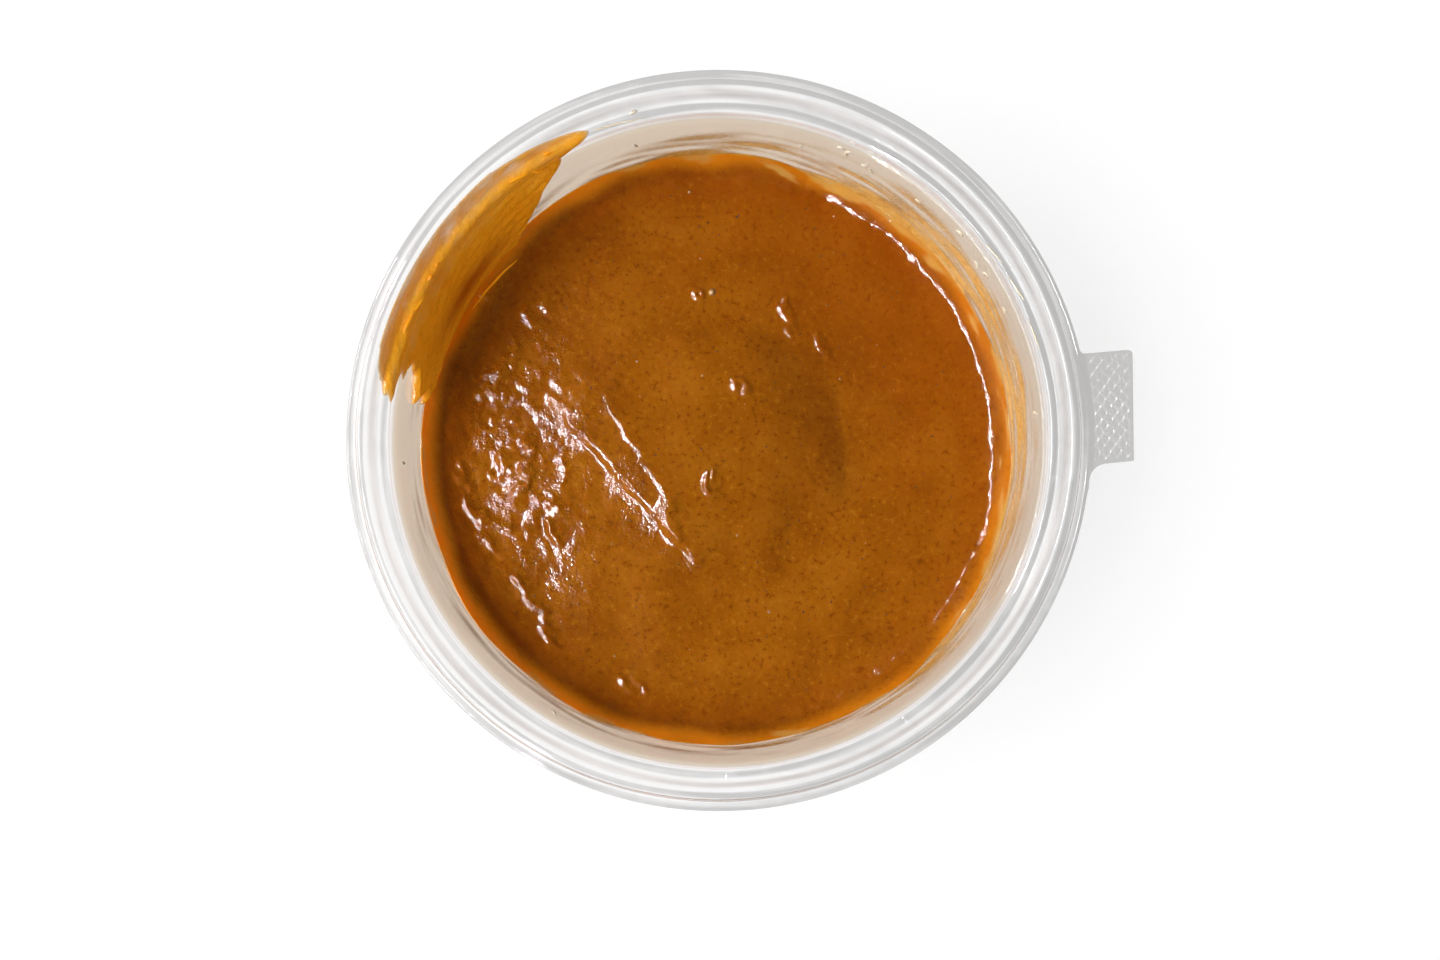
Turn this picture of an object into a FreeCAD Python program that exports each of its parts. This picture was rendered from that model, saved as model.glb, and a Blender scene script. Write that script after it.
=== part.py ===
"""Round clear plastic deli tub, open, part filled with almond sauce.

Millimetres, +Z up. The origin is on the tub's axis, in the plane that its foot ring stands on.
Each node is written to parts/NODE.step:
  tub         one sheet-thin thermoformed piece: base, foot ring, tapered wall, rim and pull tab
  sauce       the filling, up to its stirred top surface
  wall_smear  the thick tongue of sauce left on the wall and rim where a spoon was wiped
"""

import math
import os

import FreeCAD
import Part

Vector = FreeCAD.Vector

# --- The tub's overall sizes ---
TUB_HEIGHT = 44.0  # foot plane to the top of the rim
MOUTH_R = 51.4  # food-side radius at the top of the tapered wall
WALL_FOOT_R = 42.0  # radius where the line of that wall would meet the foot plane
SHEET = 0.5  # thickness of the formed plastic

# --- Base ---
PANEL_R = 34.0  # the raised middle of the base
PANEL_RISE = 2.0
PANEL_SLOPE = 2.0  # width of the slope between the panel and the foot ring
PANEL_EDGE_ROUND = 1.2
RING_ROUND = 0.8
HEEL_ROUND = 4.0  # between the foot ring and the wall

# --- Rim, outwards from the mouth ---
WALL_TOP_DROP = 7.2  # the wall ends this far below the top of the rim
SHOULDER_W = 0.6  # small step that the lid's plug stops on
SHOULDER_RISE = 0.35
SHOULDER_ROUND = 0.35
PLUG_LEAN = 0.2  # how far the plug wall leans out on its way up
SEAT_DROP = 3.4  # the flat seat of the lid, below the top of the rim
SEAT_W = 1.6
SEAT_ROUND = 0.4
SLOPE_W = 1.5  # from the seat up to the crest
CREST_W = 1.6
CREST_IN_ROUND = 0.75
CREST_OUT_ROUND = 0.9
SKIRT_LEAN = 0.3
LIP_DROP = 2.4  # the flat trimmed lip, below the top of the rim
LIP_W = 1.5
LIP_ROUND = 0.4

# --- Small ribs across the lid's seat ---
RIB_ANGLES = (30.5, 271.5, 303.5)
RIB_R = 0.3
RIB_SINK = 0.12  # how far each rib's axis lies below the seat

# --- Pull tab at the lip ---
TAB_LENGTH = 6.7  # beyond the lip, along X
TAB_TOP_Y = 13.8  # the tip's upper corner
TAB_WIDTH = 17.7  # along the tip
TAB_TURN = 5.0  # degrees that the tab's sides and its knurl are turned from X
TAB_CORNER_ROUND = 0.7
TAB_UPPER_ROOT_ROUND = 0.8
TAB_LOWER_ROOT_ROUND = 3.0
TAB_OVERLAP = 0.4  # how far the tab's blank reaches in over the lip

# --- Knurl on the tab ---
KNURL_PITCH = 1.33
KNURL_ANGLE = 50.0  # each way from the tab's sides
KNURL_DEPTH = 0.16
KNURL_MARGIN = 0.5  # plain border round the knurl

# --- Sauce ---
FILL_LEVEL = 22.3  # above the foot plane, away from the marks of the spoon and from the wall
RELIEF_CELLS = 54  # cells across the surface that shapes the sauce's top
RELIEF_MARGIN = 3.0  # that surface reaches this far past the wall
MOUND_AT = (-1.0, 1.5)
MOUND_R = 15.0
MOUND_HEIGHT = 2.6
SWIRL_AT = (-5.0, 1.0)  # centre of the arc that the spoon left
SWIRL_R = 22.5
SWIRL_W = 4.2
SWIRL_DEPTH = 1.9
SWIRL_FROM = -5.0  # degrees: the middle of that arc
SWIRL_SPAN = 62.0
RIDGE_HEIGHT = 1.5
RIDGE_W = 2.6
LONG_RIDGE = ((-25.4, 4.3), (-5.0, -17.0))
SHORT_RIDGE = ((-12.3, 0.3), (-6.4, -12.1))
RIPPLE_AT = (-31.0, 2.0)  # rough patch on the side where the spoon left the sauce
RIPPLE_R = 12.0
RIPPLE_HEIGHT = 0.5
RIPPLE_LENGTH = 8.5
RIPPLE_SKEW = 0.5  # Y share of the one wave, and X share of the other
TROUGH_FROM_WALL = 7.0  # hollow all round, deepest at one side
TROUGH_AT = 195.0  # azimuth where it is deepest, in degrees
TROUGH_DEPTH = 1.1
TROUGH_SWING = 0.7  # how far that depth changes round the tub
TROUGH_IN_W = 10.0  # width of its inner slope
TROUGH_OUT_W = 4.0
MENISCUS_RISE = 2.1
MENISCUS_W = 2.4

# --- Smear on the wall and rim ---
SMEAR_ANGLE = 142.0  # azimuth of its middle, in degrees
SMEAR_TOP_HALF = 27.0  # half its width at the rim, in degrees
SMEAR_FOOT_HALF = 17.0  # half its width at the sauce
SMEAR_FOOT_LEAN = 8.0  # the foot is turned this far from the middle, in degrees
SMEAR_SPREAD_BY = 0.7  # it is as wide as at the rim from this share of the way up
SMEAR_THICK = 1.9
SMEAR_CROWN = 0.35  # share of the thickness lost between its middle and its edges
SMEAR_THINNING = 0.6  # share of the thickness lost on the way up
SMEAR_FOLD = 0.15  # depth of its folds, as a share of the thickness
SMEAR_FOLDS = 3.0  # folds in its full width
SMEAR_FOLD_SLANT = 0.8  # half widths that the folds lean over on the way up
SMEAR_EDGE_W = 0.06  # its edges fall off over about this share of half its width
SMEAR_EDGE_SINK = 2.0  # how far behind the plastic its front surface runs outside its outline
SMEAR_REACH = 1.18  # how far past its edges that surface runs, in half widths
SMEAR_BRIDGE = 3.4  # length over which it smooths out the steps of the rim
SMEAR_BRIDGE_CELLS = 10  # samples in that length
SMEAR_BACKING = 17.0  # how far out and down its body runs before the tub's skin cuts it off
SMEAR_DIP = 3.0  # it starts this far below the top of the sauce
SMEAR_TOP_GAP = 0.8  # it stops this far below the top of the rim
SMEAR_CELLS_ROUND = 20  # on each side of its middle
SMEAR_CELL_UP = 1.4  # about the height of its cells, measured up the wall

# --- Worked out from the sizes above ---
DRAFT = (MOUTH_R - WALL_FOOT_R) / (TUB_HEIGHT - WALL_TOP_DROP)
SEAT_R = MOUTH_R + SHOULDER_W + PLUG_LEAN
SEAT_Z = TUB_HEIGHT - SEAT_DROP
CREST_R = SEAT_R + SEAT_W + SLOPE_W
SKIRT_R = CREST_R + CREST_W
LIP_ROOT_R = SKIRT_R + SKIRT_LEAN
LIP_R = LIP_ROOT_R + LIP_W
LIP_Z = TUB_HEIGHT - LIP_DROP
FILL_R = WALL_FOOT_R + DRAFT * FILL_LEVEL
TAB_TIP_X = LIP_R + TAB_LENGTH


def base_corners():
    """Corners of the food-side skin of the base, outwards, each as (radius, height, rounding)."""
    panel_z = PANEL_RISE + SHEET
    return [
        (0.0, panel_z, 0.0),
        (PANEL_R, panel_z, PANEL_EDGE_ROUND),
        (PANEL_R + PANEL_SLOPE, SHEET, RING_ROUND),
        (WALL_FOOT_R + DRAFT * SHEET, SHEET, HEEL_ROUND),
    ]


def rim_corners():
    """The same from the top of the tapered wall to the outer edge of the rim's crest."""
    wall_top_z = TUB_HEIGHT - WALL_TOP_DROP
    return [
        (MOUTH_R, wall_top_z, SHOULDER_ROUND + SHEET),
        (MOUTH_R + SHOULDER_W, wall_top_z + SHOULDER_RISE, SHOULDER_ROUND),
        (SEAT_R, SEAT_Z, SEAT_ROUND + SHEET),
        (SEAT_R + SEAT_W, SEAT_Z, SEAT_ROUND),
        (CREST_R, TUB_HEIGHT, CREST_IN_ROUND),
        (SKIRT_R, TUB_HEIGHT, CREST_OUT_ROUND),
    ]


def food_side_corners():
    """The whole food-side skin from the axis to the trimmed edge of the lip."""
    lip_corners = [(LIP_ROOT_R, LIP_Z, LIP_ROUND), (LIP_R, LIP_Z, 0.0)]
    return base_corners() + rim_corners() + lip_corners


def turn_at(before, corner, after):
    """The turn at a corner in radians, positive to the left of the direction of travel."""
    first = math.atan2(corner[1] - before[1], corner[0] - before[0])
    second = math.atan2(after[1] - corner[1], after[0] - corner[0])
    return math.remainder(second - first, 2 * math.pi)


def shifted(corners, distance):
    """The same path moved to the right of its travel, with each rounding about its old centre."""
    lines = []
    for start, end in zip(corners, corners[1:]):
        length = math.hypot(end[0] - start[0], end[1] - start[1])
        direction = ((end[0] - start[0]) / length, (end[1] - start[1]) / length)
        lines.append((start[0] + direction[1] * distance, start[1] - direction[0] * distance, direction))
    moved = [(lines[0][0], lines[0][1], 0.0)]
    for i in range(1, len(corners) - 1):
        ax, az, a = lines[i - 1]
        bx, bz, b = lines[i]
        along = ((bx - ax) * b[1] - (bz - az) * b[0]) / (a[0] * b[1] - a[1] * b[0])
        side = math.copysign(1.0, turn_at(corners[i - 1], corners[i], corners[i + 1]))
        moved.append((ax + a[0] * along, az + a[1] * along, corners[i][2] + side * distance))
    last = lines[-1][2]
    end = corners[-1]
    moved.append((end[0] + last[1] * distance, end[1] - last[0] * distance, 0.0))
    return moved


def rounded_edges(corners):
    """Lines joined by tangent arcs through (radius, height, rounding) corners, in the XZ plane."""
    edges = []
    start = Vector(corners[0][0], 0, corners[0][1])
    for before, corner, after in zip(corners, corners[1:], corners[2:]):
        here = Vector(corner[0], 0, corner[1])
        back = (Vector(before[0], 0, before[1]) - here).normalize()
        ahead = (Vector(after[0], 0, after[1]) - here).normalize()
        turn = abs(turn_at(before, corner, after))
        reach = corner[2] * math.tan(turn / 2)
        arc_start = here + back * reach
        arc_end = here + ahead * reach
        inward = (back + ahead).normalize()
        middle = here + inward * (corner[2] / math.cos(turn / 2) - corner[2])
        edges.append(Part.LineSegment(start, arc_start).toShape())
        edges.append(Part.Arc(arc_start, middle, arc_end).toShape())
        start = arc_end
    end = Vector(corners[-1][0], 0, corners[-1][1])
    edges.append(Part.LineSegment(start, end).toShape())
    return edges


def joined(start, end):
    return Part.LineSegment(start, end).toShape()


def path_end(edges, last):
    """The first or the last point of a run of edges that share their ends in order."""
    edge = edges[-1] if last else edges[0]
    return edge.valueAt(edge.LastParameter if last else edge.FirstParameter)


def turned(edges):
    """The solid that a closed run of edges in the XZ plane sweeps in a full turn about Z."""
    face = Part.Face(Part.Wire(Part.__sortEdges__(edges)))
    return face.revolve(Vector(0, 0, 0), Vector(0, 0, 1), 360)


def tub_shell():
    """The round tub: the food-side skin and the same skin one sheet further out, turned about Z."""
    inside = rounded_edges(food_side_corners())
    outside = rounded_edges(shifted(food_side_corners(), SHEET))
    trim = joined(path_end(inside, True), path_end(outside, True))
    axis = joined(path_end(outside, False), path_end(inside, False))
    return turned(inside + [trim] + outside + [axis])


def cavity():
    """All the space inside the food-side skin, up to the top of the rim."""
    edges = rounded_edges(base_corners() + rim_corners())[:-1]
    brim = path_end(edges, True)
    top = Vector(0, 0, brim.z)
    return turned(edges + [joined(brim, top), joined(top, path_end(edges, False))])


def seat_ribs():
    """Small half-round ribs that lie radially across the lid's seat."""
    ribs = []
    for angle in RIB_ANGLES:
        axis_z = SEAT_Z - RIB_SINK
        rib = Part.makeCylinder(RIB_R, SEAT_W, Vector(SEAT_R, 0, axis_z), Vector(1, 0, 0))
        rib.rotate(Vector(0, 0, 0), Vector(0, 0, 1), angle)
        ribs.append(rib)
    return ribs


def tab_direction():
    turn = math.radians(TAB_TURN)
    return Vector(math.cos(turn), math.sin(turn), 0)


def tab_side(tip, direction, radius):
    """The point where a side of the tab, run back from its tip corner, meets a circle about Z."""
    ahead = tip.x * direction.x + tip.y * direction.y
    back = ahead - math.sqrt(ahead * ahead - (tip.x**2 + tip.y**2 - radius**2))
    return tip - direction * back


def tab_blank():
    """The flat tab with its rounded tip corner, reaching in over the lip."""
    direction = tab_direction()
    upper_tip = Vector(TAB_TIP_X, TAB_TOP_Y, 0)
    lower_tip = Vector(TAB_TIP_X, TAB_TOP_Y - TAB_WIDTH, 0)
    inner_r = LIP_R - TAB_OVERLAP
    upper_root = tab_side(upper_tip, direction, inner_r)
    lower_root = tab_side(lower_tip, direction, inner_r)
    outline = Part.makePolygon([lower_root, lower_tip, upper_tip, upper_root, lower_root])
    blank = Part.Face(outline).extrude(Vector(0, 0, SHEET))
    blank.translate(Vector(0, 0, LIP_Z - SHEET))
    corner = [e for e in blank.Edges if edge_is_upright_at(e, upper_tip)]
    return blank.makeFillet(TAB_CORNER_ROUND, corner)


def edge_is_upright_at(edge, point):
    """Whether both ends of an edge lie over or under a point of the XY plane."""
    return all(math.hypot(v.X - point.x, v.Y - point.y) < 1e-6 for v in edge.Vertexes)


def root_edge(shape, side):
    """The upright inner edge where a side of the tab meets the lip's edge."""
    tip_y = TAB_TOP_Y if side > 0 else TAB_TOP_Y - TAB_WIDTH
    point = tab_side(Vector(TAB_TIP_X, tip_y, 0), tab_direction(), LIP_R)
    return [e for e in shape.Edges if edge_is_upright_at(e, point)]


def knurl_grooves():
    """V grooves in two crossing families over the tab, inside its plain border."""
    direction = tab_direction()
    centre = Vector(TAB_TIP_X - TAB_LENGTH / 2, TAB_TOP_Y - TAB_WIDTH / 2, LIP_Z)
    reach = math.hypot(TAB_LENGTH, TAB_WIDTH) / 2
    grooves = []
    for lean in (KNURL_ANGLE, -KNURL_ANGLE):
        angle = math.radians(TAB_TURN + lean)
        along = Vector(math.cos(angle), math.sin(angle), 0)
        across = Vector(-along.y, along.x, 0)
        count = int(reach / KNURL_PITCH)
        for i in range(-count, count + 1):
            middle = centre + across * (i * KNURL_PITCH)
            start = middle - along * reach
            points = [
                start - across * KNURL_DEPTH,
                start + across * KNURL_DEPTH,
                start - Vector(0, 0, KNURL_DEPTH),
                start - across * KNURL_DEPTH,
            ]
            groove = Part.Face(Part.makePolygon(points)).extrude(along * (2 * reach))
            grooves.append(groove)
    field = knurl_field(direction)
    return [part for g in grooves for part in g.common(field).Solids]


def knurl_field(direction):
    """The block that the knurl stays within: the tab's outline less its plain border."""
    tip_x = TAB_TIP_X - KNURL_MARGIN
    upper = Vector(tip_x, TAB_TOP_Y - KNURL_MARGIN, 0)
    lower = Vector(tip_x, TAB_TOP_Y - TAB_WIDTH + KNURL_MARGIN, 0)
    inner_r = LIP_R + KNURL_MARGIN
    upper_root = tab_side(upper, direction, inner_r)
    lower_root = tab_side(lower, direction, inner_r)
    outline = Part.Face(Part.makePolygon([lower_root, lower, upper, upper_root, lower_root]))
    block = outline.extrude(Vector(0, 0, 2 * SHEET))
    block.translate(Vector(0, 0, LIP_Z - SHEET))
    clear_of_lip = Part.makeCylinder(inner_r, 4 * SHEET, Vector(0, 0, LIP_Z - 2 * SHEET))
    return block.cut(clear_of_lip)


def make_tub():
    """The whole tub as one solid: shell, seat ribs and the knurled pull tab."""
    tub = tub_shell().fuse(seat_ribs() + [tab_blank()]).removeSplitter()
    tub = tub.makeFillet(TAB_UPPER_ROOT_ROUND, root_edge(tub, 1))
    tub = tub.makeFillet(TAB_LOWER_ROOT_ROUND, root_edge(tub, -1))
    return tub.cut(Part.Compound(knurl_grooves()))


def bump(distance, width):
    """A smooth hump of height one: the bell curve of a distance over a width."""
    return math.exp(-((distance / width) ** 2))


def eased(share):
    """A share from 0 to 1 that starts and ends level."""
    return share * share * (3.0 - 2.0 * share)


def distance_to_run(x, y, run):
    """Distance from a point to a straight run between two points."""
    (ax, ay), (bx, by) = run
    dx, dy = bx - ax, by - ay
    share = ((x - ax) * dx + (y - ay) * dy) / (dx * dx + dy * dy)
    share = min(max(share, 0.0), 1.0)
    return math.hypot(x - ax - share * dx, y - ay - share * dy)


def trough(x, y):
    """How far the hollow between the stirred middle and the wall lies below the fill level."""
    azimuth = math.degrees(math.atan2(y, x))
    depth = TROUGH_DEPTH + TROUGH_SWING * math.cos(math.radians(azimuth - TROUGH_AT))
    outwards = math.hypot(x, y) - (FILL_R - TROUGH_FROM_WALL)
    return depth * bump(outwards, TROUGH_IN_W if outwards < 0 else TROUGH_OUT_W)


def sauce_height(x, y):
    """Height of the sauce's top: a stirred mound, the marks of the spoon and the wall's pull."""
    height = FILL_LEVEL - trough(x, y)
    height += MOUND_HEIGHT * bump(math.hypot(x - MOUND_AT[0], y - MOUND_AT[1]), MOUND_R)
    from_swirl = math.hypot(x - SWIRL_AT[0], y - SWIRL_AT[1])
    angle = math.degrees(math.atan2(y - SWIRL_AT[1], x - SWIRL_AT[0])) - SWIRL_FROM
    angle = math.remainder(angle, 360.0)
    height -= SWIRL_DEPTH * bump(from_swirl - SWIRL_R, SWIRL_W) * bump(angle, SWIRL_SPAN)
    for run in (LONG_RIDGE, SHORT_RIDGE):
        height += RIDGE_HEIGHT * bump(distance_to_run(x, y, run), RIDGE_W)
    rough = bump(math.hypot(x - RIPPLE_AT[0], y - RIPPLE_AT[1]), RIPPLE_R)
    wave = math.sin(2 * math.pi * (x + RIPPLE_SKEW * y) / RIPPLE_LENGTH)
    cross_wave = math.sin(2 * math.pi * (y - RIPPLE_SKEW * x) / RIPPLE_LENGTH)
    height += RIPPLE_HEIGHT * rough * (wave + cross_wave)
    to_wall = FILL_R - math.hypot(x, y)
    return height + MENISCUS_RISE * math.exp(-max(to_wall, -MENISCUS_W) / MENISCUS_W)


def surface_through(rows):
    """A smooth surface through a grid of points."""
    surface = Part.BSplineSurface()
    surface.interpolate(rows)
    return surface.toShape()


def make_sauce():
    """The filling: the tub's cavity below the stirred surface."""
    half = FILL_R + RELIEF_MARGIN
    steps = [half * (2 * i / RELIEF_CELLS - 1) for i in range(RELIEF_CELLS + 1)]
    rows = [[Vector(x, y, sauce_height(x, y)) for y in steps] for x in steps]
    below = surface_through(rows).extrude(Vector(0, 0, -TUB_HEIGHT))
    return cavity().common(below)


def smear_profile():
    """Evenly spaced points up the food-side skin, with the rim's steps smoothed, and their normals."""
    low = WALL_FOOT_R + DRAFT * (FILL_LEVEL - SMEAR_DIP)
    start = (low, FILL_LEVEL - SMEAR_DIP, 0.0)
    wire = Part.Wire(rounded_edges([start] + rim_corners())[:-1])
    cells = SMEAR_BRIDGE_CELLS
    count = int(wire.Length * cells / SMEAR_BRIDGE)
    raw = wire.discretize(Number=count)
    raw = [raw[0] + (raw[0] - raw[1]) * k for k in range(cells, 0, -1)] + raw
    raw = raw + [raw[-1] + (raw[-1] - raw[-2]) * k for k in range(1, cells + 1)]
    smooth = []
    for i in range(cells, len(raw) - cells):
        window = raw[i - cells // 2:i + cells // 2 + 1]
        smooth.append(sum(window, Vector(0, 0, 0)) * (1.0 / len(window)))
    last = len(smooth) - 1
    rows = round(wire.Length / SMEAR_CELL_UP)
    picked = [smooth[round(last * k / rows)] for k in range(rows + 1)]
    normals = []
    for k in range(rows + 1):
        ahead = picked[min(k + 1, rows)] - picked[max(k - 1, 0)]
        normals.append(Vector(-ahead.z, 0, ahead.x).normalize())
    return picked, normals


def smear_thickness(across, share):
    """Thickness at a place across the smear (-1 and 1 are its edges) and a share of the way up it.

    Across, it is crowned and falls steeply at both edges to well behind the plastic, so that its
    edges are blunt beads. Upwards it thins out slowly. Two slanting folds run through it.
    """
    crown = 1.0 - SMEAR_CROWN * across * across
    fold_at = across + SMEAR_FOLD_SLANT * share
    fold = 1.0 + SMEAR_FOLD * math.sin(SMEAR_FOLDS * math.pi * fold_at)
    body = SMEAR_THICK * crown * fold * (1.0 - SMEAR_THINNING * share)
    outside = 0.5 + 0.5 * math.tanh((abs(across) - 1.0) / SMEAR_EDGE_W)
    return body * (1.0 - outside) - SMEAR_EDGE_SINK * outside


def smear_angle(across, share):
    """Azimuth in degrees: the smear spreads on its way up the wall, and its foot is turned a little."""
    spread = eased(min(1.0, share / SMEAR_SPREAD_BY))
    half = SMEAR_FOOT_HALF + (SMEAR_TOP_HALF - SMEAR_FOOT_HALF) * spread
    return SMEAR_ANGLE + SMEAR_FOOT_LEAN * (1.0 - share) + half * across


def crowded_at_ends(even):
    """Even steps from -1 to 1 made finer towards both ends."""
    return even * (3.0 - even * even) / 2.0


def make_smear(sauce):
    """The tongue of sauce on the wall: what lies between its crowned front surface and the skin."""
    picked, normals = smear_profile()
    rows = []
    for j in range(-SMEAR_CELLS_ROUND, SMEAR_CELLS_ROUND + 1):
        across = SMEAR_REACH * crowded_at_ends(j / SMEAR_CELLS_ROUND)
        row = []
        for k, (point, normal) in enumerate(zip(picked, normals)):
            share = k / (len(picked) - 1)
            front = point + normal * smear_thickness(across, share)
            turn = math.radians(smear_angle(across, share))
            row.append(Vector(front.x * math.cos(turn), front.x * math.sin(turn), front.z))
        rows.append(row)
    outwards = math.radians(SMEAR_ANGLE)
    behind = Vector(math.cos(outwards), math.sin(outwards), -1.0) * SMEAR_BACKING
    body = surface_through(rows).extrude(behind).common(cavity())
    below_brim = Part.makeCylinder(2 * MOUTH_R, TUB_HEIGHT - SMEAR_TOP_GAP)
    return largest_solid(body.common(below_brim).cut(sauce))


def largest_solid(shape):
    return max(shape.Solids, key=lambda solid: solid.Volume)


def write(name, shape):
    shape.exportStep(f"parts/{name}.step")
    print(name, "solids", len(shape.Solids), "valid", shape.isValid(), "mm3", round(shape.Volume, 1))


def main():
    os.makedirs("parts", exist_ok=True)
    tub = make_tub()
    sauce = make_sauce()
    smear = make_smear(sauce)
    write("tub", tub)
    write("sauce", sauce)
    write("wall_smear", smear)


main()
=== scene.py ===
"""An open clear deli tub of almond sauce: its looks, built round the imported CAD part.

Every shape is a surface over a grid, worked out in millimetres and written to its mesh in metres.
Positions share the CAD part's frame: the tub's axis is Z and its foot stands at zero.
"""

import math

import bpy
import numpy as np
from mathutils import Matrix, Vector


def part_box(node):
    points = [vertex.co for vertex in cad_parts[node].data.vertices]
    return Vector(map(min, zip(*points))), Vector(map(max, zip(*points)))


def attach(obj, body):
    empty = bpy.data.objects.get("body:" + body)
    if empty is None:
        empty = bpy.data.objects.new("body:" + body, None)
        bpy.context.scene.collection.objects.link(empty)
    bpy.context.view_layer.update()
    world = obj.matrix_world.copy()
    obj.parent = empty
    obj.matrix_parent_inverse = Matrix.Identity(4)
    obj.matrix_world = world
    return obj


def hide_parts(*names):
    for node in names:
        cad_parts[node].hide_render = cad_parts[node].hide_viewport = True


bl_info = {
    "name": "Deli tub of almond sauce",
    "version": (1, 0, 0),
    "blender": (4, 5, 0),
    "location": "3D View > Sidebar > Sauce Tub",
    "description": "Builds the clear tub, its sauce, the smear up its wall and a small studio",
    "category": "Object",
}

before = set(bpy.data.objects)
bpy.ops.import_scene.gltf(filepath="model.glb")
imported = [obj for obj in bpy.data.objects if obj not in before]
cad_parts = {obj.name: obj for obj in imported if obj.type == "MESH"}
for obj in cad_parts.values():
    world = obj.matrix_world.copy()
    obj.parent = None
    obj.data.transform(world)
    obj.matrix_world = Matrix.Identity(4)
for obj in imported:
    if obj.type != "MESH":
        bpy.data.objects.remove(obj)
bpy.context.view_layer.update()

MM = 0.001

# --- Sizes of the tub's section, in millimetres ---
tub_low, tub_high = (np.array(corner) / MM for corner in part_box("tub"))
TUB_HEIGHT = tub_high[2]
LIP_R = -tub_low[1]
TAB_TIP_X = tub_high[0]
SHEET = 0.5
WALL_FOOT_R = 42.0
MOUTH_R = 51.4
WALL_TOP_DROP = 7.2
PANEL_R = 34.0
PANEL_RISE = 2.0
PANEL_SLOPE = 2.0
PANEL_EDGE_ROUND = 1.2
RING_ROUND = 0.8
HEEL_ROUND = 4.0
SHOULDER_W = 0.6
SHOULDER_RISE = 0.35
SHOULDER_ROUND = 0.35
PLUG_LEAN = 0.2
SEAT_DROP = 3.4
SEAT_W = 1.6
SEAT_ROUND = 0.4
SLOPE_W = 1.5
CREST_W = 1.6
CREST_IN_ROUND = 0.75
CREST_OUT_ROUND = 0.9
SKIRT_LEAN = 0.3
LIP_DROP = 2.4
LIP_ROUND = 0.4

DRAFT = (MOUTH_R - WALL_FOOT_R) / (TUB_HEIGHT - WALL_TOP_DROP)
SEAT_R = MOUTH_R + SHOULDER_W + PLUG_LEAN
SEAT_Z = TUB_HEIGHT - SEAT_DROP
CREST_R = SEAT_R + SEAT_W + SLOPE_W
SKIRT_R = CREST_R + CREST_W
LIP_ROOT_R = SKIRT_R + SKIRT_LEAN
LIP_Z = TUB_HEIGHT - LIP_DROP

# --- Pull tab and ribs ---
TAB_TOP_Y = 13.8
TAB_WIDTH = 17.7
TAB_TURN = math.radians(5.0)
TAB_TIP_ROUND = 0.7
TAB_LOWER_TIP_ROUND = 0.12
TAB_UPPER_ROOT_ROUND = 0.8
TAB_LOWER_ROOT_ROUND = 3.0
LIP_RUN = 4.0  # straight run along the lip on each side of the tab, so that its roots can be rounded
KNURL_PITCH = 1.33
KNURL_ANGLE = math.radians(50.0)
KNURL_MARGIN = 0.6
GROOVE_HALF_W = 0.3
KNURL_FADE = 0.3  # width over which the knurl fades out at its edges
RIB_ANGLES = (30.5, 271.5, 303.5)
RIB_HALF_W = 0.3
RIB_HEIGHT = 0.18
LIP_LINE_IN = 0.45
LIP_LINE_HALF_W = 0.16
LIP_LINE_RISE = 0.1
TRIM_ROUND = 0.06

# --- Sauce ---
FILL_LEVEL = 22.3
FILL_R = WALL_FOOT_R + DRAFT * FILL_LEVEL
INTO_PLASTIC = 0.08  # how far the sauce reaches into the wall, so that no gap shows


# ---------------------------------------------------------------- small maths


def bell(distance, width):
    """A smooth hump of height one: e to the minus square of distance over width."""
    return np.exp(-((distance / width) ** 2))


def eased(share):
    """A share clipped to 0..1 that starts and ends level: 3s^2 - 2s^3."""
    share = np.clip(share, 0.0, 1.0)
    return share * share * (3.0 - 2.0 * share)


def turn_between(degrees, middle):
    """Signed degrees from a middle direction, wrapped to -180..180."""
    return (degrees - middle + 180.0) % 360.0 - 180.0


def waves(points, lengths, count, seed):
    """Uneven height with a spread of about one.

    It is the sum of many plane waves, each of random heading, length and phase.
    """
    draw = np.random.default_rng(seed)
    heading = draw.normal(size=(count, 3))
    heading /= np.linalg.norm(heading, axis=1, keepdims=True)
    number = 2.0 * np.pi * heading / draw.uniform(*lengths, (count, 1))
    phase = draw.uniform(0.0, 2.0 * np.pi, count)
    total = np.zeros(points.shape[:-1])
    for k in range(count):
        total += np.sin(points @ number[k] + phase[k])
    return total * math.sqrt(2.0 / count)


def round_the_tub(degrees, knots):
    """A value that runs smoothly through (degrees, value) knots all the way round."""
    at = np.array([k[0] for k in knots], float)
    value = np.array([k[1] for k in knots], float)
    at = np.concatenate([at - 360.0, at, at + 360.0])
    value = np.tile(value, 3)
    degrees = np.asarray(degrees) % 360.0
    i = np.clip(np.searchsorted(at, degrees) - 1, 0, len(at) - 2)
    return value[i] + (value[i + 1] - value[i]) * eased((degrees - at[i]) / (at[i + 1] - at[i]))


def to_run(x, y, start, end):
    """Distance from each point to a straight run, which side it lies on, and its share along the run."""
    dx, dy = end[0] - start[0], end[1] - start[1]
    length = math.hypot(dx, dy)
    share = np.clip(((x - start[0]) * dx + (y - start[1]) * dy) / length**2, 0.0, 1.0)
    away = np.hypot(x - start[0] - share * dx, y - start[1] - share * dy)
    side = ((x - start[0]) * dy - (y - start[1]) * dx) / length
    return away, side, share


def away_from(place, x, y):
    """Distance of each point from one place."""
    return np.hypot(x - place[0], y - place[1])


def spread(*parts):
    """Points whose coordinates are these parts, stretched to one shape."""
    return np.stack(np.broadcast_arrays(*parts), axis=-1)


def polar(radius, degrees, height):
    """Points from radius, azimuth in degrees and height, as one array of XYZ."""
    angle = np.radians(degrees)
    radius, angle, height = np.broadcast_arrays(radius, angle, height)
    return np.stack([radius * np.cos(angle), radius * np.sin(angle), height], axis=-1)


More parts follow.
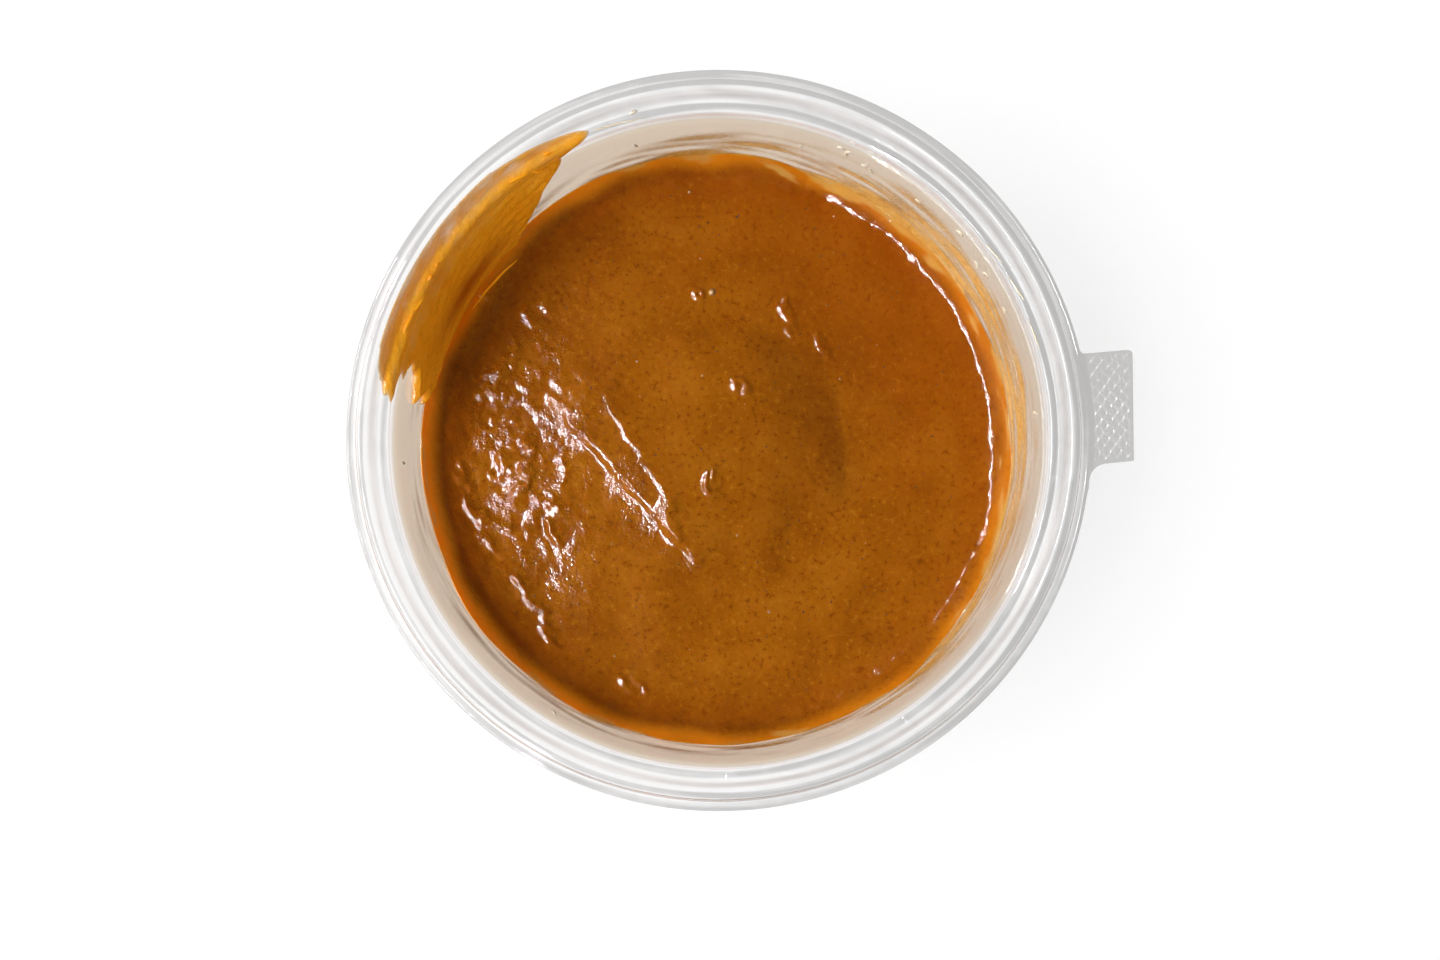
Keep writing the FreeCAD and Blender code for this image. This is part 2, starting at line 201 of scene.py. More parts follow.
# ---------------------------------------------------------------- meshes


def new_piece(name, points, faces, material, replaces=None):
    """A smooth-shaded object with these points (in mm) and faces, riding on the tub."""
    mesh = bpy.data.meshes.new(name)
    mesh.from_pydata((points * MM).tolist(), [], faces)
    mesh.shade_smooth()
    mesh.materials.append(material)
    piece = bpy.data.objects.new(name, mesh)
    bpy.context.scene.collection.objects.link(piece)
    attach(piece, "root")
    if replaces:
        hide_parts(replaces)
    return piece


def paint(piece, name, values):
    """Stores one number for each point of a piece, for its material to read."""
    layer = piece.data.attributes.new(name, "FLOAT", "POINT")
    layer.data.foreach_set("value", np.ascontiguousarray(values, dtype=np.float32).ravel())


def paint_round(piece, name, values, at_poles=0.0):
    """Paints a round body, whose two poles share one value."""
    paint(piece, name, np.concatenate([[at_poles], values.ravel(), [at_poles]]))


def paint_both_sides(piece, name, values):
    """Paints a thin patch or band alike on its front and its back."""
    paint(piece, name, np.concatenate([values.ravel(), values.ravel()]))


def quads(a, b, c, d):
    """Four-sided faces from four grids of point numbers, one for each corner."""
    return np.stack([a, b, c, d], axis=-1).reshape(-1, 4)


def round_faces(rows, columns):
    """Faces of a closed body of revolution: rings in order, with a pole before and a pole after them."""
    ring = np.arange(rows * columns).reshape(rows, columns) + 1
    beside = np.roll(ring, -1, axis=1)
    sides = quads(ring[:-1], ring[1:], beside[1:], beside[:-1])
    first = np.stack([np.zeros(columns, int), ring[0], beside[0]], axis=-1)
    last = np.stack([ring[-1], np.full(columns, rows * columns + 1), beside[-1]], axis=-1)
    return sides.tolist() + first.tolist() + last.tolist()


def round_body(name, grid, first, last, material, replaces):
    """A closed body: rings of points from a first pole to a last pole, both on the axis."""
    rows, columns = grid.shape[:2]
    points = np.concatenate([[first], grid.reshape(-1, 3), [last]])
    return new_piece(name, points, round_faces(rows, columns), material, replaces)


def sheet_faces(rows, columns):
    """Faces of a thin closed patch: a front grid, a back grid turned over, and a rim that joins them."""
    front = np.arange(rows * columns).reshape(rows, columns)
    back = front + rows * columns
    faces = [
        quads(front[:-1, :-1], front[:-1, 1:], front[1:, 1:], front[1:, :-1]),
        quads(back[:-1, :-1], back[1:, :-1], back[1:, 1:], back[:-1, 1:]),
        quads(front[0, 1:], front[0, :-1], back[0, :-1], back[0, 1:]),
        quads(front[-1, :-1], front[-1, 1:], back[-1, 1:], back[-1, :-1]),
        quads(front[:-1, 0], front[1:, 0], back[1:, 0], back[:-1, 0]),
        quads(front[1:, -1], front[:-1, -1], back[:-1, -1], back[1:, -1]),
    ]
    return np.concatenate(faces).tolist()


def band_faces(rows, columns):
    """Faces of a thin closed band all round the tub: a front grid, a back grid and their two rims."""
    front = np.arange(rows * columns).reshape(rows, columns)
    back = front + rows * columns
    front_beside = np.roll(front, -1, axis=1)
    back_beside = np.roll(back, -1, axis=1)
    faces = [
        quads(front[:-1], front[1:], front_beside[1:], front_beside[:-1]),
        quads(back[:-1], back_beside[:-1], back_beside[1:], back[1:]),
        quads(front[0], front_beside[0], back_beside[0], back[0]),
        quads(front[-1], back[-1], back_beside[-1], front_beside[-1]),
    ]
    return np.concatenate(faces).tolist()


# ---------------------------------------------------------------- the tub's section


def base_corners():
    """Food-side corners of the base, outwards: radius, height, rounding and points on the run to each."""
    panel_z = PANEL_RISE + SHEET
    return [
        (0.0, panel_z, 0.0, 0),
        (PANEL_R, panel_z, PANEL_EDGE_ROUND, 5),
        (PANEL_R + PANEL_SLOPE, SHEET, RING_ROUND, 2),
        (WALL_FOOT_R + DRAFT * SHEET, SHEET, HEEL_ROUND, 2),
    ]


def rim_corners():
    """The same from the top of the tapered wall to the outer edge of the crest."""
    wall_top_z = TUB_HEIGHT - WALL_TOP_DROP
    return [
        (MOUTH_R, wall_top_z, SHOULDER_ROUND + SHEET, 16),
        (MOUTH_R + SHOULDER_W, wall_top_z + SHOULDER_RISE, SHOULDER_ROUND, 1),
        (SEAT_R, SEAT_Z, SEAT_ROUND + SHEET, 4),
        (SEAT_R + SEAT_W, SEAT_Z, SEAT_ROUND, 5),
        (CREST_R, TUB_HEIGHT, CREST_IN_ROUND, 4),
        (SKIRT_R, TUB_HEIGHT, CREST_OUT_ROUND, 3),
    ]


def lip_corners():
    """The same along the lip, from its root to the trimmed edge."""
    return [(LIP_ROOT_R, LIP_Z, LIP_ROUND, 3), (LIP_R, LIP_Z, 0.0, 3)]


ARC_STEP = math.radians(16.0)  # widest turn between two points of a rounding


def rounded_path(corners):
    """Points and normals along runs joined by tangent arcs. The normals point to the right of travel.

    An arc starts the rounding times the tangent of half the turn before its corner, and its centre
    lies one rounding to the side that the path turns to.
    """
    points, normals = [], []

    def keep(point, heading):
        points.append(point)
        normals.append((math.sin(heading), -math.cos(heading)))

    start = np.array(corners[0][:2])
    for before, corner, after in zip(corners, corners[1:], corners[2:]):
        here = np.array(corner[:2])
        into = math.atan2(here[1] - before[1], here[0] - before[0])
        out = math.atan2(after[1] - here[1], after[0] - here[0])
        turn = math.remainder(out - into, 2.0 * math.pi)
        reach = corner[2] * math.tan(abs(turn) / 2.0)
        arc_start = here - reach * np.array([math.cos(into), math.sin(into)])
        for k in range(corner[3]):
            keep(start + (arc_start - start) * (k / corner[3]), into)
        side = math.copysign(corner[2], turn)
        centre = arc_start + side * np.array([-math.sin(into), math.cos(into)])
        steps = max(2, math.ceil(abs(turn) / ARC_STEP))
        for k in range(steps + 1):
            heading = into + turn * k / steps
            keep(centre + side * np.array([math.sin(heading), -math.cos(heading)]), heading)
        start = points[-1]
    return np.array(points), np.array(normals)


def tab_edge_radius(degrees):
    """Radius of the trimmed edge at each azimuth: the lip's circle, run out along the tab's outline."""
    along = np.array([math.cos(TAB_TURN), math.sin(TAB_TURN)])

    def root(tip):
        ahead = tip @ along
        return tip - along * (ahead - math.sqrt(ahead * ahead - (tip @ tip - LIP_R**2)))

    upper_tip = np.array([TAB_TIP_X, TAB_TOP_Y])
    lower_tip = np.array([TAB_TIP_X, TAB_TOP_Y - TAB_WIDTH])
    lower_root, upper_root = root(lower_tip), root(upper_tip)
    lower_lip = np.array([-lower_root[1], lower_root[0]]) / LIP_R
    upper_lip = np.array([-upper_root[1], upper_root[0]]) / LIP_R
    corners = [
        (*(lower_root - LIP_RUN * lower_lip), 0.0, 0),
        (*lower_root, TAB_LOWER_ROOT_ROUND, 1),
        (*lower_tip, TAB_LOWER_TIP_ROUND, 6),
        (*upper_tip, TAB_TIP_ROUND, 8),
        (*upper_root, TAB_UPPER_ROOT_ROUND, 6),
        (*(upper_root + LIP_RUN * upper_lip), 0.0, 1),
    ]
    outline, _ = rounded_path(corners)
    azimuth = np.degrees(np.arctan2(outline[:, 1], outline[:, 0]))
    reach = np.hypot(outline[:, 0], outline[:, 1])
    degrees = turn_between(degrees, 0.0)
    edge = np.interp(degrees, azimuth, reach, left=LIP_R, right=LIP_R)
    return np.maximum(edge, LIP_R)


def knurl(x, y):
    """Depth and painted highlight of the tab's knurl, each from 0 to 1.

    Two families of V grooves cross, with a pip where they meet. The grooves of the first family and
    the pips get uneven painted highlights.
    """
    centre_x, centre_y = TAB_TIP_X - (TAB_TIP_X - LIP_R) / 2.0, TAB_TOP_Y - TAB_WIDTH / 2.0
    uneven = waves(spread(x, y, 0.0), (0.8, 2.6), 22, 51)
    grooves = []
    for lean in (KNURL_ANGLE, -KNURL_ANGLE):
        angle = TAB_TURN + lean
        across = (y - centre_y) * math.cos(angle) - (x - centre_x) * math.sin(angle)
        from_groove = np.abs(across - KNURL_PITCH * np.round(across / KNURL_PITCH))
        grooves.append(np.clip(1.0 - from_groove / GROOVE_HALF_W, 0.0, 1.0))
    first, second = grooves
    depth = np.maximum(first, second) - 2.2 * first * second
    pips = np.clip(first * second * 2.6 - 0.7, 0.0, 1.0)
    bright = 0.55 * first**2 * eased(uneven * 0.6 + 0.4) + 0.25 * second**2 * eased(0.3 - uneven * 0.6)
    bright += pips * eased(0.75 + 0.5 * uneven)
    slant = (TAB_TIP_X - x) * math.tan(TAB_TURN)
    inside = eased((TAB_TIP_X - KNURL_MARGIN - x) / KNURL_FADE + 0.5)
    inside *= eased((TAB_TOP_Y - KNURL_MARGIN - slant - y) / KNURL_FADE + 0.5)
    low_side = TAB_TOP_Y - TAB_WIDTH + KNURL_MARGIN - slant
    inside *= eased((y - low_side) / KNURL_FADE + 0.5)
    inside *= eased((np.hypot(x, y) - LIP_R - 0.3) / KNURL_FADE)
    return depth * inside, np.clip(bright, 0.0, 1.0) * inside


# Painted light and shade across the rim, as how clear the sheet looks: radius in mm, then 0 for greyest
# (painted shade) and 1 for clearest (painted highlight lines).
RIM_PAINTED_SHADING = (
    (50.8, 0.3), (51.3, 0.75), (51.8, 1.0), (52.35, 1.0), (52.6, 0.25), (53.4, 0.25), (53.75, 1.0),
    (54.1, 0.8), (54.5, 0.45), (55.0, 0.6), (55.2, 1.0), (55.7, 1.0), (55.9, 0.15), (56.6, 0.1),
    (56.8, 0.9), (57.3, 1.0), (57.6, 0.5), (58.0, 0.4), (58.3, 0.05), (58.7, 0.05),
)
# What is added to that painted clearness, by azimuth: painted light, lighter towards the lamp's side and
# darker round the far side.
PAINTED_SHADING_ROUND = (
    (10, -0.24), (60, -0.36), (110, -0.24), (160, 0.1), (200, 0.2), (245, 0.08), (300, -0.12),
    (340, -0.14),
)


def tub_columns():
    """Azimuths of the shell's columns in degrees: fine over the tab and at the ribs, wide elsewhere."""
    parts = [np.arange(-7.0, 16.0, 0.13), np.arange(16.0, 353.0, 1.4)]
    for rib in RIB_ANGLES:
        parts.append(rib + np.linspace(-0.6, 0.6, 11))
    columns = np.unique(np.round(np.concatenate(parts), 4))
    keep = np.concatenate([[True], np.diff(columns) > 0.05])
    return columns[keep]


def make_shell(settings):
    """The clear shell: both skins of the section turned about Z and run out into the tab.

    The food side carries the ribs and the knurl, and the line near the lip's edge.
    """
    section, normals = rounded_path(base_corners() + rim_corners() + lip_corners())
    degrees = tub_columns()
    edge = tab_edge_radius(degrees)
    lip_start = section[-1, 0]
    outwards = np.linspace(0.0, 1.0, settings.tab_rows + 1)[1:]
    lip_r = lip_start + (edge - lip_start) * outwards[:, None]

    def skin(offset):
        r = section[1:, 0] + normals[1:, 0] * offset
        z = section[1:, 1] + normals[1:, 1] * offset
        return polar(r[:, None], degrees, z[:, None])

    def lip(drop, rows):
        return polar(lip_r[rows], degrees, LIP_Z - drop)

    food_lip = lip(0.0, slice(None))
    groove, _ = knurl(food_lip[..., 0], food_lip[..., 1])
    food_lip[..., 2] -= groove * settings.knurl_depth / MM
    food_lip[..., 2] += bell(lip_r - (LIP_R - LIP_LINE_IN), LIP_LINE_HALF_W) * LIP_LINE_RISE
    food_lip[-1, :, 2] -= TRIM_ROUND
    under_lip = lip(SHEET, slice(5, None, 6))
    under_lip[-1, :, 2] += TRIM_ROUND
    food, under = skin(0.0), skin(SHEET)

    per_degree = math.radians(SEAT_R + SEAT_W / 2.0)
    rib = sum(bell(turn_between(degrees, a) * per_degree, RIB_HALF_W) for a in RIB_ANGLES)
    on_seat = (section[1:, 0] > SEAT_R + 0.1) & (section[1:, 0] < SEAT_R + SEAT_W + 0.1)
    food[..., 2] += RIB_HEIGHT * rib * on_seat[:, None]

    waver = settings.waver / MM
    soft_wall = eased((section[1:, 1] - 2.0) / 8.0) * eased((TUB_HEIGHT - 6.0 - section[1:, 1]) / 6.0)
    for grid in (food, under):
        push = waver * waves(grid, (14.0, 34.0), 20, 3) * (0.25 + 0.75 * soft_wall[:, None])
        away = grid * [1.0, 1.0, 0.0]
        grid += away / np.linalg.norm(away, axis=-1, keepdims=True) * push[..., None]
    grid = np.concatenate([food, food_lip, under_lip[::-1], under[::-1]])
    first = (0.0, 0.0, section[0, 1])
    last = (0.0, 0.0, section[0, 1] - SHEET)
    material = clear_plastic(settings)
    shell = round_body("tub_shell", grid, first, last, material, "tub")
    radius = np.hypot(grid[..., 0], grid[..., 1])
    on_tab = np.clip((radius - LIP_R - 0.2) / 0.5, 0.0, 1.0)
    paint_round(shell, "tab", on_tab)
    above_sauce = eased((grid[..., 2] - FILL_LEVEL + 1.0) / 3.0)
    # Above the sauce the wall's tint is a painted reflection of the sauce.
    sauce_reflection_zone = eased((MOUTH_R + 0.9 - radius) / 0.6) * above_sauce
    paint_round(shell, "wall", sauce_reflection_zone)
    # The sheet's tint is painted light and shade: grey bands, clear highlight lines, and a lighter side
    # towards the lamp.
    tone = np.interp(radius, *zip(*RIM_PAINTED_SHADING)) + round_the_tub(degrees, PAINTED_SHADING_ROUND)
    tone = tone + 0.05 * waves(grid * [1.0, 1.0, 3.0], (1.5, 8.0), 20, 52)
    unrolled = spread(radius * 12.0, degrees * 0.35, 0.0)
    tone = tone + 0.16 * waves(unrolled, (6.0, 16.0), 26, 53)
    # On the tab the tint follows the knurl's painted highlights.
    _, bright = knurl(grid[..., 0], grid[..., 1])
    tone = 1.0 + (tone - 1.0) * above_sauce
    tone = tone * (1.0 - on_tab) + (0.1 + 0.9 * bright) * on_tab
    paint_round(shell, "painted_rim_shading", tone, at_poles=0.5)
    return shell


# ---------------------------------------------------------------- the sauce's surface

# Short marks of the spoon that catch the light: start, end and height, in millimetres.
STROKES = (
    ((-35.2, 14.3), (-38.2, 10.2), 0.55), ((-38.6, 9.4), (-36.6, 8.6), 0.4),
    ((-34.4, 17.8), (-33.6, 15.6), 0.4), ((-31.6, 22.9), (-30.9, 21.2), 0.4),
    ((-28.8, 24.6), (-28.2, 22.8), 0.35), ((-35.7, -1.2), (-34.6, -4.0), 0.5),
    ((-31.0, 0.6), (-31.6, -5.0), 0.55), ((-31.6, -5.0), (-33.0, -8.6), 0.5),
    ((-42.3, -3.4), (-41.2, -7.0), 0.55), ((-41.4, -9.0), (-38.8, -12.0), 0.65),
    ((-38.8, -11.6), (-34.4, -13.2), 0.5), ((-38.6, -14.2), (-37.2, -16.2), 0.5),
    ((-28.1, -7.9), (-26.4, -10.5), 0.5), ((-28.2, -11.8), (-26.6, -15.4), 0.6),
    ((-25.5, -1.9), (-25.3, -6.4), 0.45), ((-33.0, -21.2), (-31.8, -23.4), 0.6),
    ((-31.4, -24.4), (-29.2, -26.4), 0.5), ((-29.0, -28.0), (-26.8, -32.2), 0.55),
    ((-15.9, -37.9), (-14.6, -39.3), 0.6), ((-13.0, -38.4), (-12.2, -39.6), 0.5),
    ((11.0, 25.2), (11.8, 21.8), 0.5), ((11.6, 20.8), (12.1, 19.2), 0.4),
    ((16.2, 18.6), (18.0, 15.8), 0.45), ((3.3, 10.6), (3.9, 9.6), 0.45), ((4.6, 10.1), (5.1, 9.2), 0.4),
    ((-2.6, -4.7), (-1.6, -6.6), 0.5), ((-0.9, -3.6), (-0.4, -5.4), 0.45),
    ((-2.0, -7.0), (-1.2, -8.2), 0.35),
)
STROKE_HALF_W = 0.85

BUBBLE_AT = (-3.3, 25.6)
BUBBLE_R = 0.95

# The steps that the spoon cut and the ridge at their foot, each as the start and end of its run.
MAIN_STEP = ((-25.6, 4.8), (-5.4, -17.2))
INNER_STEP = ((-18.0, 6.2), (-6.4, -12.2))
STEP_FOOT = ((-8.4, -10.2), (-7.0, -14.6))

MOUND_AT = (-1.0, 1.5)
ARC_CENTRE = (-5.0, 1.0)
ARC_R = 26.5
STIRRED_AT = (-32.0, -1.0)
ROUGH_AT = (-34.0, -1.0)
BEAD_DEGREES = 152.0  # the middle of the bead of sauce beside the smear
BEAD_R = 44.5
HOLLOW_DEGREES = 195.0  # where the hollow before the wall is deepest
LAMP_DEGREES = 190.0  # the side that faces the main lamp
SHADE_DEGREES = 150.0  # where the smear keeps the lamp from the sauce
FILMY_DEGREES = 50.0  # where the sauce's edge thins out to film


def spoon_marks(x, y, ragged):
    """Height of the short strokes: bell-shaped ridges along their runs, broken up by an uneven cover."""
    height = np.zeros_like(x)
    for start, end, rise in STROKES:
        away, _, share = to_run(x + 0.35 * ragged, y + 0.35 * np.roll(ragged, 7, axis=-1), start, end)
        height += rise * bell(away, STROKE_HALF_W) * (0.55 + 0.45 * np.sin(np.pi * (0.15 + 0.7 * share)))
    return height


SMOOTHEST = 0.3  # how broken the calm parts of the sauce are, where the most broken parts are 1


def brokenness(x, y):
    """How broken the surface is, from calm to 1: most on the stirred side and along the main step."""
    stirred = bell(np.hypot(x - STIRRED_AT[0], (y - STIRRED_AT[1]) / 2.0), 13.0)
    away, _, _ = to_run(x, y, *MAIN_STEP)
    stirred = np.maximum(stirred, bell(away, 4.0))
    patches = eased(0.6 + 0.45 * waves(spread(x, y, 0.0), (2.5, 9.0), 26, 16))
    return SMOOTHEST + (1.0 - SMOOTHEST) * stirred * patches


def step_along(x, y, start, end, rise, width, ragged):
    """A step up to the left of a run: an eased rise with a raised edge, that fades at its ends."""
    away, side, _ = to_run(x, y, start, end)
    beyond = np.sqrt(np.maximum(away**2 - side**2, 0.0))
    fade = bell(beyond, 3.0) * bell(np.maximum(-side, 0.0), 9.0)
    side = -side + 0.12 * ragged
    return rise * (eased(side / width + 0.5) + 0.35 * bell(side - width, width)) * fade


# The sauce climbs the wall at a slope, from a reach before it, with a rounded bend at the start.
PULL_SLOPE = 0.95
PULL_REACH = 2.5
PULL_BEND = 0.3


def sauce_height(x, y):
    """Height of the sauce's top in mm.

    The fill level, less a hollow before the wall, plus a mound, less a tilt down to the right and
    the spoon's arc, plus the steps, the short strokes, the fine roughness, the bead beside the
    smear, the bubble's ring and the pull of the wall.
    """
    points = spread(x, y, 0.0)
    radius = np.hypot(x, y)
    degrees = np.degrees(np.arctan2(y, x))
    ragged = waves(points, (1.6, 5.0), 26, 11)
    slow = waves(points, (9.0, 22.0), 16, 12)

    outwards = radius - (FILL_R - 7.0)
    hollow = 1.1 + 0.45 * np.cos(np.radians(degrees - HOLLOW_DEGREES))
    height = FILL_LEVEL - hollow * bell(outwards, np.where(outwards < 0.0, 10.0, 4.0))
    height += 2.2 * bell(away_from(MOUND_AT, x, y), 16.0)
    height -= 1.6 * eased((x * 0.94 + y * 0.34 - 12.0) / 34.0)

    round_arc = turn_between(np.degrees(np.arctan2(y - ARC_CENTRE[1], x - ARC_CENTRE[0])), 0.0)
    arc_r = ARC_R - 4.0 * eased((round_arc - 15.0) / 60.0) - 2.5 * eased((-15.0 - round_arc) / 50.0)
    from_arc = away_from(ARC_CENTRE, x, y) - arc_r - 0.5 * slow
    height -= 2.6 * bell(from_arc, np.where(from_arc < 0.0, 5.4, 12.0)) * bell(round_arc - 10.0, 75.0)

    height += step_along(x, y, *MAIN_STEP, 0.45, 0.8, ragged)
    height += step_along(x, y, *MAIN_STEP, 0.4, 5.0, ragged)
    height += step_along(x, y, *INNER_STEP, 0.2, 0.8, ragged)
    away, _, _ = to_run(x, y, *STEP_FOOT)
    height += 0.7 * bell(away, 1.6)

    height += spoon_marks(x, y, ragged)
    rough_side = bell(np.hypot(x - ROUGH_AT[0], (y - ROUGH_AT[1]) / 1.9), 12.0)
    height += rough_side * (0.07 * ragged + 0.06 * np.abs(waves(points, (1.2, 3.0), 26, 13)))
    height += 0.02 * ragged + 0.10 * slow

    on_bead = bell(turn_between(degrees, BEAD_DEGREES), 14.0)
    from_bead = radius - BEAD_R - 0.25 * ragged
    height += 1.5 * on_bead * bell(from_bead, np.where(from_bead < 0.0, 1.7, 3.0))

    height += 0.5 * bell(away_from(BUBBLE_AT, x, y) - BUBBLE_R * 0.7, 0.35)

    to_wall = FILL_R - radius
    wobble = 0.05 * waves(polar(30.0, degrees, 0.0), (6.0, 20.0), 14, 14)
    beads = waves(points, (0.9, 2.6), 26, 16)
    height += (0.03 * ragged + 0.035 * beads) * bell(to_wall - 2.4, 1.2)
    pull = PULL_SLOPE * (1.0 + wobble) * (1.0 - 0.8 * on_bead)
    within = (PULL_REACH + 0.2 * slow - to_wall) / PULL_BEND
    return height + pull * PULL_BEND * np.log1p(np.exp(within))


def wall_radius(z):
    """Radius of the wall's food side at a height."""
    return WALL_FOOT_R + DRAFT * z


def sauce_edge(degrees):
    """Radius and height where the sauce's top meets the wall, each worked out in turn until they settle."""
    radius = np.full_like(degrees, FILL_R)
    for _ in range(8):
        point = polar(radius, degrees, 0.0)
        z = sauce_height(point[..., 0], point[..., 1])
        radius = wall_radius(z) + INTO_PLASTIC
    return radius, z


def make_sauce(settings):
    """The filling: rings from the middle of its top to the wall, down the wall and in over the base."""
    degrees = np.arange(settings.columns) * (360.0 / settings.columns)
    edge_r, edge_z = sauce_edge(degrees)
    share = np.linspace(0.0, 1.0, settings.rings + 1)[1:, None]
    reach = share * (1.22 - 0.22 * share)
    top = polar(reach * edge_r, degrees, 0.0)
    top[..., 2] = sauce_height(top[..., 0], top[..., 1])
    path, normals = rounded_path(base_corners() + [(*rim_corners()[0][:3], 1), rim_corners()[1]])
    last = np.argmax(path[:, 1] > HEEL_ROUND + SHEET)
    below = path[1:last][::-1] + normals[1:last][::-1] * INTO_PLASTIC
    heel_r, heel_z = below[0]
    down = np.linspace(0.0, 1.0, 7)[1:-1, None]
    side = polar(edge_r + (heel_r - edge_r) * down, degrees, edge_z + (heel_z - edge_z) * down)
    base = polar(below[:, :1], degrees, below[:, 1:])
    grid = np.concatenate([top, side, base])
    middle = sauce_height(np.array([0.0]), np.array([0.0]))[0]
    first = (0.0, 0.0, middle)
    lowest = (0.0, 0.0, PANEL_RISE + SHEET - INTO_PLASTIC)
    material = sauce_material(settings)
    sauce = round_body("sauce_fill", grid, first, lowest, material, "sauce")
    near_wall = np.clip(edge_r - np.hypot(grid[..., 0], grid[..., 1]), 0.0, None)
    on_top = (np.arange(len(grid)) < len(top))[:, None]
    wander = 0.25 * waves(polar(40.0, degrees, 0.0), (4.0, 18.0), 16, 15)
    facing_lamp = 0.5 + 0.5 * np.cos(np.radians(degrees - LAMP_DEGREES))
    # The amber thin edge is partly the colour of thin sauce and partly painted light, stronger towards the
    # lamp, where the lamp shines through the wall.
    thin = eased(1.2 - (near_wall + wander) / (1.8 + 0.9 * facing_lamp))
    paint_round(sauce, "thin", thin * (0.4 + 0.6 * facing_lamp**1.5) * on_top)
    # Painted shade: a dark band before the wall, strongest on the lamp's side where the slope to the wall
    # faces away from the lamp and weaker beside the smear, and a broad painted shade over the far side.
    behind_smear = bell(turn_between(degrees, SHADE_DEGREES), 22.0)
    shaded = (0.1 + 0.55 * facing_lamp) * (1.0 - 0.4 * behind_smear)
    from_shade_band = near_wall - 3.4 - 2.6 * behind_smear
    deep = bell(from_shade_band, np.where(from_shade_band < 0.0, 1.8, 3.6)) * shaded
    far_side_shade = bell(turn_between(degrees, 45.0), 60.0) * eased((34.0 - near_wall) / 20.0)
    paint_round(sauce, "deep", np.clip(deep + 0.45 * far_side_shade, 0.0, 1.0) * on_top)
    unrolled = spread(near_wall * 6.0, np.radians(degrees) * 48.0, 0.0)
    runs = waves(unrolled, (3.0, 14.0), 24, 17)
    reach = 0.4 + 1.1 * bell(turn_between(degrees, FILMY_DEGREES), 38.0)
    filmy = eased((reach - near_wall + 0.5 * runs) / 0.8) * (0.75 + 0.25 * runs) * on_top
    paint_round(sauce, "filmy", np.clip(filmy, 0.0, 1.0))
    paint_round(sauce, "broken", brokenness(grid[..., 0], grid[..., 1]) * on_top, at_poles=SMOOTHEST)
    return sauce


# ---------------------------------------------------------------- the smear and the film on the wall


def skin_path():
    """Points and inward normals of the food side, from below the sauce's edge to the crest.

    They are evenly spaced, and given both as they are and with the steps of the rim smoothed out.
    """
    low = (wall_radius(18.0), 18.0, 0.0, 0)
    path, _ = rounded_path([low, *rim_corners(), lip_corners()[0]])
    path = path[path[:, 0] <= CREST_R + 0.9]
    run = np.concatenate([[0.0], np.cumsum(np.hypot(*np.diff(path, axis=0).T))])
    even = np.arange(0.0, run[-1], 0.1)
    raw = np.stack([np.interp(even, run, path[:, i]) for i in range(2)], axis=-1)
    reach = 16
    weight = np.hanning(2 * reach + 1)
    padded = np.pad(raw, ((reach, reach), (0, 0)), mode="reflect", reflect_type="odd")
    weight /= weight.sum()
    smooth = np.stack([np.convolve(padded[:, i], weight, mode="valid") for i in range(2)], axis=-1)
    ahead = np.gradient(smooth, axis=0)
    ahead /= np.linalg.norm(ahead, axis=1, keepdims=True)
    inward = np.stack([-ahead[:, 1], ahead[:, 0]], axis=-1)
    return even, raw, smooth, inward


LEDGE_R = 53.9
THIN_LEDGE_DEGREES = 137.0  # where the smear is thinnest on the ledge
THICKEST = 1.9  # greatest thickness that the smear's profile below is drawn for
# The smear's two side edges: height on the wall and rim, then azimuths of its right and left edges.
SMEAR_SIDES = (
    (20.0, 137.0, 163.0), (24.5, 132.5, 168.5), (27.0, 131.0, 171.0), (31.5, 125.0, 172.5),
    (36.0, 120.5, 168.0), (38.5, 117.0, 169.0), (40.6, 113.0, 169.5), (42.3, 122.0, 168.5),
    (43.4, 131.0, 166.0),
)


